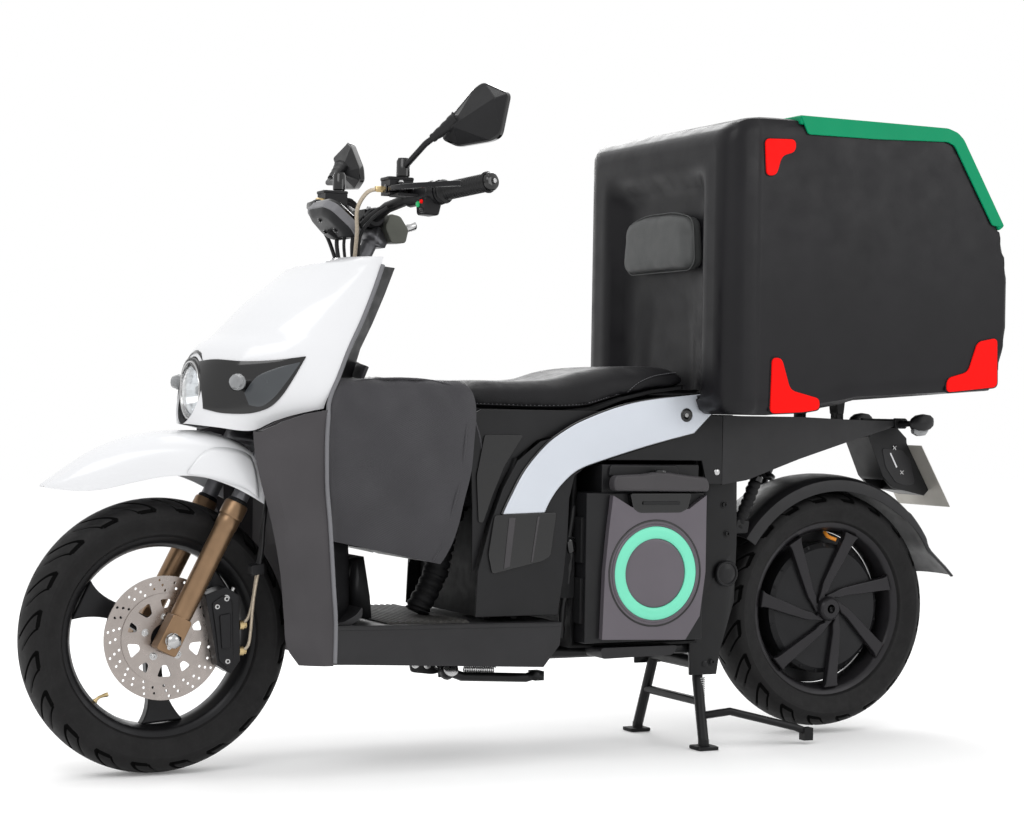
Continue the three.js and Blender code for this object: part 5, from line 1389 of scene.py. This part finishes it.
TRIM_TOP = [(-143, 487), (-127, 519), (-96, 572), (-50, 622), (-4, 653), (43, 675), (114, 699), (186, 714),
            (302, 727)]
TRIM_LOW = [(286, 648), (188, 624), (82, 594), (21, 573), (-16, 544), (-39, 515), (-52, 490)]


def side_details():
    outline = flat_curve(TRIM_TOP, 6) + [(329, 689)] + flat_curve(TRIM_LOW, 6)
    for word, side in SIDES:
        face = side_prism(f"silver_trim_{word}", outline, *span(side, 165.5, 172.6), "frame", SILVER,
                          bevel=2.2, segments=3, slot="silver_plastic")
        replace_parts(face, f"side_trim_{word}")
        loop = [(side * 166.4, y, z) for y, z in outline]
        tube(f"trim_gasket_{word}", loop, 3.4, "frame", GLOSS, steps=1, sides=8, slot="black_plastic",
             closed_path=True)
        x = side * 172.6
        socket = [(0.01, -2), (4, -2), (4.4, 0.2), (7.4, 0.6), (8.6, 1.6), (12.4, 1.8), (13.8, 0.6),
                  (13.8, -1.5), (0.01, -1.5)]
        turned(f"trim_lock_{word}", socket, (x, 267, 684), (side, 0, 0), "frame", GLOSS, sides=40,
               slot="black_plastic", shift=0.4)
        turned(f"trim_lock_cam_{word}", [(0.01, 1.0), (4.6, 1.0), (5.2, 0.2), (5.2, -1.5), (0.01, -1.5)],
               (x, 267, 684), (side, 0, 0), "frame", STEEL, sides=6, slot="bright_steel")
        vent = [(-160, 485), (-24, 490), (-36, 404), (-52, 395), (-163, 371), (-172, 410)]
        side_prism(f"vent_{word}", rounded(vent, 7), *span(side, 164.8, 169.4), "frame", GLOSS,
                   bevel=1.4, slot="black_plastic")
        for k, slat in enumerate(([(-139, 381), (-126, 385), (-115, 480), (-129, 480)],
                                  [(-80, 392), (-76, 393), (-62, 482), (-67, 482)])):
            side_prism(f"vent_slat{k + 1}_{word}", slat, *span(side, 169.2, 170.8), "frame", SHIELD,
                       bevel=0.7, slot="grey_plastic")
        screw = [(0.01, 2.6), (5, 2.4), (6.6, 1.2), (7.2, 0), (7.2, -1), (0.01, -1)]
        turned(f"panel_screw_{word}", screw, (side * 165, 346, 569), (side, 0, 0), "frame", STEEL, sides=24,
               slot="bright_steel")


def battery_details():
    x = 202
    slot_rim = rounded([(122, 528), (264, 528), (256, 497), (240, 489), (144, 489), (130, 497)], 6)
    side_prism("battery_pocket", slot_rim, 186, 203.2, "battery", GLOSS, bevel=1.6, slot="black_plastic")
    lip = rounded([(150, 512), (236, 512), (236, 505), (150, 505)], 3)
    side_prism("battery_pocket_lip", lip, 203, 206.5, "battery", SATIN, bevel=1.2, slot="black_plastic")
    groove = [(103, 0.9), (106, 1.2), (106.8, 0), (106, -1.2), (103, -0.6), (103, 0.9)]
    turned("battery_groove", groove, (x, *RING), (1, 0, 0), "battery", GLOSS, sides=112, slot="black_plastic")
    rim_out = [(93.8, 2.6), (96.6, 2.9), (98.2, 1.4), (98.4, -1), (93.8, -1), (93.8, 2.6)]
    turned("battery_ring_rim", rim_out, (x, *RING), (1, 0, 0), "battery", GUNMETAL, sides=112,
           slot="gunmetal")
    ring = [(69, -5), (69, 2.2), (71.5, 4.2), (76, 4.9), (84, 4.9), (90.2, 4.2), (93, 2.2), (93, -5),
            (69, -5)]
    made = turned("battery_ring_glow", ring, (x, *RING), (1, 0, 0), "battery", MINT, sides=112,
                  slot="mint_plastic")
    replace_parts(made, "battery_ring")
    inner = [(0.01, 1.0), (60, 1.0), (66, 1.4), (68.2, 0.4), (68.2, -1), (0.01, -1)]
    turned("battery_disc", inner, (x, *RING), (1, 0, 0), "battery", GUNMETAL, sides=96, slot="gunmetal")
    bar = rounded([(78, 548), (84, 563), (150, 566), (176, 570), (204, 570), (230, 566), (292, 560),
                   (300, 546), (298, 531), (206, 532), (82, 533)], 7)
    handle = side_prism("battery_grip", bar, 188, 215, None, SHIELD, bevel=6, segments=4)
    rods = [tube("rod", [(-50, y, 545), (196, y, 545)], 6, None, STEEL, steps=1, sides=20)
            for y in (104, 274)]
    button = turned("button", [(0.01, 4), (9, 4), (12, 2.4), (12.6, 0), (12.6, -3), (0.01, -3)],
                    (201, 190, 571), (0, 0, 1), None, GLOSS, sides=40)
    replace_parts(gather("battery_trolley_handle", [handle, button] + rods, "battery_pull"),
                "battery_handle")
    back = rounded([(84, 560), (88, 584), (242, 584), (248, 560)], 9)
    side_prism("battery_back_lip", back, 150, 183, "battery", SATIN, bevel=4, segments=3, slot="grey_plastic")
    guard = rounded([(70, 222), (74, 200), (238, 203), (248, 222)], 8)
    side_prism("battery_bumper", guard, 120, 186, "frame", PANEL, bevel=5, segments=3, slot="black_plastic")
    for z in (300, 420):
        side_prism(f"battery_case_rib_{z}", rounded([(26, z - 30), (33, z - 30), (33, z + 60),
                                                     (26, z + 60)], 3), 120, 178, "battery", MATT,
                   bevel=1.5, slot="grey_plastic")
    connector = [turned("collar", [(0.01, 0), (11, 0), (13, 3), (13, 24), (10, 27), (0.01, 27)],
                        (150, 20, 410), (0, -0.3, 1), None, GLOSS, sides=28)]
    connector.append(tube("lead", [(150, 20, 410), (150, 14, 360), (140, 8, 300), (128, 12, 240)], 7, None,
                          CABLE, steps=6, wave=lambda t: 7 + 0.8 * math.sin(t * 150)))
    connector.append(tube("lead_up", [(150, 13, 436), (148, 22, 480), (140, 30, 520)], 6, None, CABLE,
                          steps=6))
    gather("battery_connector", connector, "frame")


def under_seat():
    """Body walls between the seat and the side panels, closed across the front above the conduit."""
    wall = [(-197, 372), (-199, 500), (-204, 600), (-206, 676), (-184, 689), (30, 690), (84, 689),
            (20, 652), (-60, 630), (-111, 591), (-142, 537), (-168, 468), (-192, 379)]
    both_sides("under_seat_wall", wall, 144, 149, "frame", SATIN, bevel=1.2, slot="black_plastic")
    step = [(-186, 470), (-192, 560), (-176, 640), (-92, 640), (-132, 580), (-158, 520), (-176, 470)]
    both_sides("under_seat_facet", rounded(step, 6), 148.8, 152.5, "frame", GLOSS, bevel=2.2, segments=3,
               slot="black_plastic")
    rings = []
    for z in (500, 520, 560, 600, 640, 681):
        front = -199 - (z - 500) * 0.042
        half = [(148, front + 26), (146, front + 10), (134, front + 2), (100, front), (50, front - 1),
                (0, front - 1)]
        outer = flat_curve(half, 4)
        path = outer + [(-x, y) for x, y in outer[-2::-1]]
        rings.append([(x, y, z) for x, y in path])
    front_wall = show("under_seat_front", mesh_of("under_seat_front",
                                                  *skin(rings, closed=False, caps=False)), "frame", SATIN,
                      "black_plastic", sharp=50)
    thicken(front_wall, 3)
    collar = [(30, -4), (34, -4), (35, 0), (34, 6), (30, 6), (30, -4)]
    bend = [(50, -225, 372), (50, -234, 356), (50, -246, 330), (50, -262, 304), (50, -267, 292)]
    tube("conduit_ribs", bend, 23, "frame", MATT, steps=24, sides=28,
         wave=lambda t: 21.5 + 3.2 * abs(math.sin(t * 22)), slot="black_plastic")
    turned("conduit_collar", collar, (50, -199, 494), (0, 0.06, 1), "frame", GLOSS, sides=40,
           slot="black_plastic")


def closing_plates():
    """Plates that close the body behind the battery and below the front edge of the cargo box."""
    behind = [(346, 470), (350, 470), (350, 672), (346, 672)]
    side_prism("bay_wall", behind, -112, 112, "frame", MATT, bevel=1, slot="black_plastic")
    below = [(250, 672), (362, 676), (362, 680), (250, 676)]
    side_prism("rear_bridge", below, -142, 142, "frame", MATT, bevel=1, slot="black_plastic")
    sleeve = [tube("ribs", [(104, 436, 450), (104, 460, 502), (104, 482, 552)], 13, None, MATT, steps=40,
                   sides=28, wave=lambda t: 11 + 2.6 * abs(math.sin(t * 28))),
              turned("cuff", [(0.01, 0), (12, 0), (15, 2), (15, 12), (12, 15), (0.01, 15)], (104, 478, 546),
                     (0, 0.4, 1), None, GLOSS, sides=32),
              side_prism("block", rounded([(424, 440), (456, 440), (460, 466), (430, 470)], 5), 92, 116,
                         None, SATIN, bevel=3)]
    gather("cable_sleeve_rear", sleeve, "frame")


floor_details()
under_seat()
closing_plates()
side_details()
battery_details()


# ------------------------------------------------------------ bars, mirrors, switches and display
BAR_INNER = Vector((150, -346, 1086))
BAR_OUTER = Vector((345, -268, 1108))
MIRRORS = {1: ((238, -352, 1182), (306, -286, 1250)), -1: ((-244, -350, 1150), (-306, -282, 1208))}


def bar_at(t, side):
    p = BAR_INNER + (BAR_OUTER - BAR_INNER) * t
    return Vector((side * p.x, p.y, p.z))


def grips():
    length = (BAR_OUTER - BAR_INNER).length
    for side, node, body in ((1, "grip_left", "steering"), (-1, "throttle_grip", "throttle")):
        start = bar_at(0.44, side)
        axis = bar_at(1, side) - bar_at(0, side)
        reach = length * 0.55
        profile = [(11.4, 0), (22, 0), (23, 2), (22, 5), (17, 8)]
        count = 15
        for k in range(count):
            a = 10 + (reach - 20) * k / count
            step = (reach - 20) / count
            profile += [(16.4, a), (17.4, a + step * 0.25), (17.4, a + step * 0.6), (16.4, a + step * 0.85)]
        profile += [(17, reach - 9), (20, reach - 7), (20.4, reach - 4), (19.4, reach - 1),
                    (11.4, reach - 1), (11.4, 0)]
        grip = turned(f"{node}_rubber", profile, start, axis, body, GRIP, sides=56, slot="grip_rubber")
        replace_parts(grip, node)
        end = bar_at(0.995, side)
        weight = [(0.01, 12), (5, 12), (5.6, 9.5), (11, 9.5), (15, 8), (17.6, 4), (17.6, -2), (14, -3),
                  (0.01, -3)]
        turned(f"bar_end_{'left' if side > 0 else 'right'}", weight, end, axis, "steering", GLOSS, sides=40,
               slot="black_alloy")
        cap = [(0.01, 13.6), (3.6, 13.4), (4.6, 12.4), (4.6, 10), (0.01, 10)]
        turned(f"bar_end_screw_{'left' if side > 0 else 'right'}", cap, end, axis, "steering", STEEL,
               sides=24, slot="bright_steel")


def mirror(side):
    word = "left" if side > 0 else "right"
    stem, head = MIRRORS[side]
    turn, size = (26, 1.0) if side > 0 else (4, 0.9)
    c, s = math.cos(math.radians(turn)), math.sin(math.radians(turn))

    def place(u, v, depth):
        u, v = u * size, v * size
        return (head[0] + side * (u * c - depth * s), head[1] + u * s + depth * c, head[2] + v)

    outline = [(-78, -56), (-70, -26), (-4, 33), (17, 43), (76, 18), (58, -58), (38, -66), (-40, -72)]
    crest = [(-30, -38, -26), (60, 8, -15)]
    hull = [place(u, v, 6) for u, v in outline] + [place(*point) for point in crest]
    faces = [(0, 1, 8), (1, 2, 8), (2, 3, 9, 8), (3, 4, 9), (4, 5, 9), (5, 6, 8, 9), (6, 7, 8), (7, 0, 8),
             tuple(range(8))[::-1]]
    shell = show(f"mirror_shell_{word}", mesh_of("mirror_shell", hull, faces), None, SATIN, sharp=12,
                 bevel=3.0, segments=4)
    rim = rounded(outline, 10, 4)
    band = [[place(u * k, v * k, depth) for u, v in rim]
            for depth, k in ((4, 0.985), (5, 1.015), (13, 1.015), (15, 0.985), (14, 0.94))]
    frame_band = show("band", mesh_of("band", *skin(band)), None, GLOSS, sharp=30)
    pane = [[place(u * 0.94, v * 0.94, depth) for u, v in rim] for depth in (13.4, 14.8)]
    glass = show("glass", mesh_of("glass", *skin(pane)), None, GLASS_MIRROR)
    whole = gather(f"mirror_head_{word}", [shell, frame_band, glass], f"mirror_{word}_head")
    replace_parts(whole, f"mirror_{word}")
    inner = tuple(h + (t - h) * 0.34 for h, t in zip(head, stem))
    outer = tuple(h + (t - h) * 0.86 for h, t in zip(head, stem))
    tube(f"mirror_boot_{word}", [outer, tuple((a + b) / 2 for a, b in zip(outer, inner)), inner], 10,
         "steering", GRIP, steps=6, wave=lambda t: 8 + 8 * t ** 1.4 + 0.7 * math.sin(t * 26),
         slot="black_plastic")
    post = [(0.01, 0), (11, 0), (11, 14), (13, 16), (13, 44), (10, 50), (0.01, 50)]
    turned(f"mirror_post_{word}", post, (side * 158, -361, 1112), (0, 0, 1), "steering", GLOSS, sides=32,
           slot="black_plastic")


def switches(side):
    word = "left" if side > 0 else "right"
    axis = bar_at(1, side) - bar_at(0, side)
    parts = []
    profile = [(11.4, 0), (20, 0), (24, 3), (25, 8), (25, 26), (22, 30), (20, 33), (20, 42), (17, 45),
               (11.4, 45), (11.4, 0)]
    parts.append(turned("block", profile, bar_at(0.2, side), axis, None, SATIN, sides=40))
    low = bar_at(0.3, side) + Vector((0, -8, -24))
    rings = []
    for x, k in ((-20, 0.86), (-16, 1), (16, 1), (20, 0.86)):
        rings.append([tuple(low + Vector((side * x, y * k, z * k)))
                      for y, z in rounded([(-16, -16), (14, -18), (20, 6), (12, 20), (-18, 16)], 6)])
    parts.append(show("pod", mesh_of("pod", *skin(rings)), None, SATIN))
    for dx, dz, radius, material in ((-6, 4, 5.6, GREEN_BUTTON), (10, 8, 4, RED), (10, -8, 4.6, GLOSS)):
        if side < 0 and material is GREEN_BUTTON:
            material = RED
        cap = [(0.01, 5), (radius * 0.7, 4.6), (radius, 2.6), (radius, -2), (0.01, -2)]
        parts.append(turned("button", cap, tuple(low + Vector((side * dx, -17, dz))), (0, -1, 0), None,
                            material, sides=24))
    tank = rounded([(-52, -26), (-52, 24), (8, 24), (8, -26)], 5)
    lid = []
    for z, k in ((1117.6, 0.96), (1119, 1.02), (1122.5, 1.02), (1124, 0.97)):
        lid.append([(side * 161 + v * 0.86 * k, -374 + (u + 22) * 0.86 * k, z) for u, v in tank])
    parts.append(show("lid", mesh_of("lid", *skin(lid)), None, SATIN))
    for y in (-392, -356):
        parts.append(bolt((side * 161, y, 1123.6), (0, 0, 1), 3, 2.4))
    sight = turned("sight", [(0.01, 1), (6, 1), (7.5, 0.4), (7.5, -1), (0.01, -1)],
                   (side * 161, -398, 1103), (0, -1, 0), None, GLOSS, sides=24)
    parts.append(sight)
    parts.append(bolt((side * 186, -377, 1113), (0, 0, 1), 5, 4))
    gather(f"switchgear_{word}", parts, "steering")


DASH_TILT = math.radians(42)


def dash_point(u, v, w):
    """A point on the display: across, up its face, and out of its face."""
    return (u, -436 + v * DASH_UP[1] + w * DASH_OUT[1], 1052 + v * DASH_UP[2] + w * DASH_OUT[2])


DASH_OUT = (0, math.sin(DASH_TILT), math.cos(DASH_TILT))
DASH_UP = (0, -math.cos(DASH_TILT), math.sin(DASH_TILT))


def display():
    outline = rounded([(-68, -20), (-52, -42), (52, -42), (68, -20), (60, 30), (38, 42), (-38, 42),
                       (-60, 30)], 9, 5)

    def ring(w, k):
        return [dash_point(u * k, v * k, w) for u, v in outline]

    pod = show("pod", mesh_of("pod", *skin([ring(-21, 0.6), ring(-20, 0.72), ring(-14, 0.9),
                                            ring(-10, 0.985)])), None, SATIN)
    # The band round the display is pale grey to stand in for its broad highlight: a painted highlight.
    band = show("band", mesh_of("band", *skin([ring(-10, 0.985), ring(-9.4, 1.05), ring(6, 1.06),
                                               ring(6.6, 0.99)])), None, GREY_EDGE_AND_HIGHLIGHT)
    lip = show("lip", mesh_of("lip", *skin([ring(4.6, 0.985), ring(5.2, 1.01), ring(12.5, 1.0),
                                            ring(14, 0.95), ring(12, 0.9)])), None, GLOSS)
    glass = show("glass", mesh_of("glass", *skin([ring(11, 0.9), ring(12.4, 0.9)])), None, SCREEN)
    parts = [pod, band, lip, glass]
    for u, v in ((-26, -10), (26, -10), (0, 20)):
        parts.append(bolt(dash_point(u, v, -20.5), tuple(-c for c in DASH_OUT), 4, 4, GLOSS))
    parts.append(tube("stay", [dash_point(0, -6, -18), (0, -420, 1024), (0, -392, 1046)], 10, None, MATT,
                      steps=5))
    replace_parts(gather("display", parts, "steering"), "dashboard")


def cockpit():
    for k, (x, y) in enumerate(((-34, -408), (-14, -416), (12, -412), (34, -404), (52, -398))):
        lead = [(x * 2.2, -372, 1072), (x * 1.7, -392, 1052), (x * 1.1, y - 6, 1018), (x * 0.8, y - 2, 968)]
        tube(f"cable_{k + 1}", lead, 4.2 if k % 2 else 3.2, "steering", CABLE, steps=8, slot="black_plastic")
    for word, side in SIDES:
        line = [(side * 150, -400, 1102), (side * 138, -424, 1096), (side * 108, -432, 1066),
                (side * 74, -418, 1022), (side * 44, -410, 970)]
        tube(f"bar_hose_{word}", line, 4, "steering", BRAID if side > 0 else CABLE, steps=8,
             slot="black_plastic")
        turned(f"bar_hose_bolt_{word}", [(0.01, 0), (6.5, 0), (6.5, 14), (5, 16), (0.01, 16)],
               (side * 150, -398, 1102), (0, -1, 0), "steering", BRASS, sides=6, slot="bright_steel")
    body = rounded([(-300, 1036), (-318, 1062), (-340, 1066), (-350, 1040), (-336, 1008), (-306, 1010)], 6)
    side_prism("bar_lock_body", body, 20, 54, "steering", OLIVE, bevel=2.4, slot="black_alloy")
    turned("bar_lock_barrel", [(0.01, 0), (9, 0), (10, 3), (10, 22), (8, 25), (0.01, 25)], (38, -304, 1040),
           (0, 1, 0.3), "steering", STEEL, sides=28, slot="bright_steel")
    clamp = [(0.01, -46), (17, -46), (19, -43), (19, -24), (16, -22), (16, 22), (19, 24), (19, 43),
             (17, 46), (0.01, 46)]
    turned("bar_clamp", clamp, (0, -366, 1058), (1, 0, 0), "steering", ALLOY, sides=40, slot="black_alloy")
    for x in (-34, 34):
        for dy in (-11, 11):
            head = bolt((x, -366 + dy, 1075), (0, 0, 1), 4, 4)
            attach(head, "steering")
            head.name = f"clamp_bolt_{'l' if x > 0 else 'r'}_{'f' if dy < 0 else 'b'}"


grips()
for mirror_side in (1, -1):
    mirror(mirror_side)
    switches(mirror_side)
display()
cockpit()


# ------------------------------------------------------------ tail, hugger and stands
PLATE_TILT = (math.sin(math.radians(31)), math.cos(math.radians(31)))


def plate_point(down, out):
    return (906 + down * PLATE_TILT[0] + out * PLATE_TILT[1],
            634 - down * PLATE_TILT[1] + out * PLATE_TILT[0])


def tail_details():
    lens = [(0.01, 4), (8, 4), (10, 2), (10, -4), (0.01, -4)]
    for k, x in enumerate((-46, -23, 0, 23, 46)):
        turned(f"tail_lamp_{k + 1}", lens, (x, 891, 672), (0, 1, -0.1), "frame", RED_LENS, sides=28,
               slot="clear_lens")
    shroud = rounded([(864, 684), (896, 684), (902, 676), (896, 661), (868, 661)], 4)
    both_sides("tail_lamp_shroud", shroud, 58, 66, "frame", SATIN, bevel=2, slot="black_plastic")
    for word, side in SIDES:
        base = [(side * 62, 880, 672), (side * 76, 884, 672), (side * 92, 890, 673)]
        stalk = tube("stalk", base, 7, None, SATIN, steps=5, wave=lambda t: 8 - 2 * t)
        rings = []
        for y, half, low, high in ((878, 3, 668, 676), (884, 9, 661, 684), (896, 13, 656, 691),
                                   (912, 13, 656, 694), (930, 10, 661, 692), (940, 4, 668, 686)):
            wing = [(side * 112 - half, (low + high) / 2), (side * 112 - half * 0.6, high),
                    (side * 112 + half * 0.6, high), (side * 112 + half, (low + high) / 2),
                    (side * 112 + half * 0.6, low), (side * 112 - half * 0.6, low)]
            rings.append([(x, y - 8, z) for x, z in rounded(wing, 4, 3)])
        wing = show("wing", mesh_of("wing", *skin(rings)), None, SATIN, sharp=40)
        lens_rings = []
        for y, half, low, high in ((886, 7, 652, 664), (900, 10, 646, 662), (916, 9, 648, 662),
                                   (926, 4, 656, 664)):
            lens_rings.append([(side * 112 + half * a, y - 8, (low + high) / 2 + (high - low) / 2 * b)
                               for a, b in ((-1, 0), (-0.6, 1), (0.6, 1), (1, 0), (0.6, -1), (-0.6, -1))])
        lamp = show("lamp", mesh_of("lamp", *skin(lens_rings)), None, LENS_GREY, sharp=30)
        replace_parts(gather(f"rear_indicator_{word}", [stalk, wing, lamp], "frame"),
                    f"indicator_rear_{word}")
        panel = rounded([(845, 618), (900, 614), (921, 596), (936, 540), (914, 536), (884, 542),
                         (856, 576)], 8)
        side_prism(f"hanger_inset_{word}", panel, *span(side, 45.6, 47.6), "frame", PANEL, bevel=1.2,
                   slot="black_plastic")
        side_prism(f"hanger_mark_{word}", [(866, 607), (869, 608), (887, 577), (884, 575)],
                   *span(side, 47.4, 48.2), "frame", WHITE, bevel=0, slot="silver_plastic")
        clips = []
        for y, z in ((878, 619), (899, 565)):
            for turn in (0.7, -0.8):
                d = Vector((0, math.cos(turn), math.sin(turn))) * 6
                at = Vector((side * 48, y, z))
                clips.append(tube("bar", [tuple(at - d), tuple(at), tuple(at + d)], 1.4, None, STEEL,
                                  steps=1, sides=8))
        gather(f"hanger_clips_{word}", clips, "frame")
    for x in (-60, 60):
        y, z = plate_point(26, 6.2)
        head = bolt((x, y, z), (0, PLATE_TILT[1], PLATE_TILT[0]), 4, 3)
        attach(head, "frame")
        head.name = f"plate_bolt_{'left' if x > 0 else 'right'}"


def hugger():
    rings = []
    for k in range(61):
        deg = 12 + 134 * k / 60
        a = math.radians(deg)
        flick = 0 if deg > 27 else (27 - deg) ** 1.25 * 1.4
        skirt = read([(12, 272), (26, 270), (40, 267), (54, 259), (75, 256), (150, 254)], deg)
        lift = 3.0 * (ease((deg - 30) / 1.5) * ease((48 - deg) / 1.5)
                      - ease((deg - 17) / 1.5) * ease((29 - deg) / 1.5) * 0.4) * 0.7
        outer = [(-76, skirt), (-76, (skirt + 281) / 2), (-74, 279), (-66, 284.5), (-50, 287.8),
                 (-25, 290.2), (0, 290.8)]
        inner = [(0, 287.2), (-25, 286.6), (-48, 284.2), (-62, 280), (-69, 275.5),
                 (-72.4, (skirt + 275) / 2), (-72.4, skirt)]
        section = outer + [(-x, r) for x, r in outer[-2::-1]] + [(-x, r) for x, r in inner[::-1]] + inner[1:]
        widen = 1.012 if lift > 0.5 else 1
        ring = []
        for x, r in section:
            ring.append(wheel_point(REAR_AXLE, r + flick + (lift if r > 278 else 0), a, x * widen))
        rings.append(ring)
    guard = show("hugger_shell", mesh_of("hugger_shell", *skin(rings)), None, PANEL, sharp=38)
    stay = side_prism("stay", rounded([(536, 400), (596, 386), (610, 470), (580, 500)], 8), -80, -75.4,
                      None, MATT, bevel=1.5)
    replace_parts(gather("rear_hugger", [guard, stay], "rear_arm"), "hugger")


def spring_coil(name, low, high, radius, wire, turns, body, slot="bright_steel", material=STEEL):
    low, high = Vector(low), Vector(high)
    along = high - low
    across = along.orthogonal().normalized()
    up = along.normalized().cross(across)
    steps = turns * 12
    path = [low + along * (i / steps) + across * radius * math.cos(2 * math.pi * i / 12)
            + up * radius * math.sin(2 * math.pi * i / 12) for i in range(steps + 1)]
    return tube(name, [tuple(p) for p in path], wire, body, material, steps=1, sides=8, slot=slot)


def shock_coil():
    """The coil over the rear shock."""
    low = SHOCK_LOW
    along = (SHOCK_HIGH - SHOCK_LOW).normalized()
    coil = spring_coil("shock_coil", low + along * 46, low + along * 202, 21, 3.6, 6, "shock_upper",
                       "frame_steel", FRAME_STEEL)
    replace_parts(coil, "shock_spring")
    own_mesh(coil)


def stand_details():
    spring_coil("stand_spring", (104, 357, 78), (100, 358, 142), 6.4, 1.5, 14, "stand_centre")
    tube("stand_spring_hook", [(100, 358, 142), (98, 357, 154), (94, 352, 160)], 1.5, "stand_centre", STEEL,
         steps=4, sides=8, slot="bright_steel")
    spring_coil("side_stand_spring", (118, -196, 184), (118, -130, 180), 6.4, 1.5, 14, "stand_side")
    bracket = rounded([(-300, 206), (-222, 206), (-222, 178), (-250, 172), (-296, 178)], 7)
    side_prism("side_stand_bracket", bracket, 84, 92, "frame", FRAME_STEEL, bevel=1.5, slot="frame_steel")
    for k, (y, z) in enumerate(((-288, 194), (-262, 192), (-240, 190))):
        head = bolt((92, y, z), (1, 0, 0), 6, 5)
        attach(head, "frame")
        head.name = f"bracket_bolt_{k + 1}"
    pad = [(0.01, 0), (13, 0), (15, 2), (15, 5), (12, 7), (0.01, 7)]
    turned("side_stand_pin_head", pad, (140.9, -236, 187), (0.906, 0, 0.423), "frame", STEEL, sides=24,
           slot="bright_steel")
    for word, side in SIDES:
        cap = [(0.01, 6), (8, 5.4), (16, 4.6), (19, 2.4), (21, 2.0), (22, 3.4), (25, 3.2), (27, 0.6),
               (27, -1), (0.01, -1)]
        turned(f"pivot_cap_{word}", cap, (side * 124, *SWINGARM_PIVOT), (side, 0, 0), "frame", SATIN, sides=40,
               slot="black_alloy")
        for k, (y, z) in enumerate(((396, 500), (372, 176), (404, 440))):
            head = bolt((side * 116, y, z), (side, 0, 0), 6, 5, FRAME_STEEL)
            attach(head, "frame")
            head.name = f"plate_bolt_{word}_{k + 1}"
        corners = [(side * 134 + u, 344 + v) for u, v in ((-20, -24), (20, -24), (20, 24), (-20, 24))]
        foot = [[(x, y, z) for x, y in rounded(corners, 8)] for z in (0.4, 7.5)]
        show(f"stand_pad_{word}", mesh_of("stand_pad", *skin(foot)), "stand_centre", MATT, "frame_steel",
             bevel=1.5)


tail_details()
hugger()
shock_coil()
stand_details()
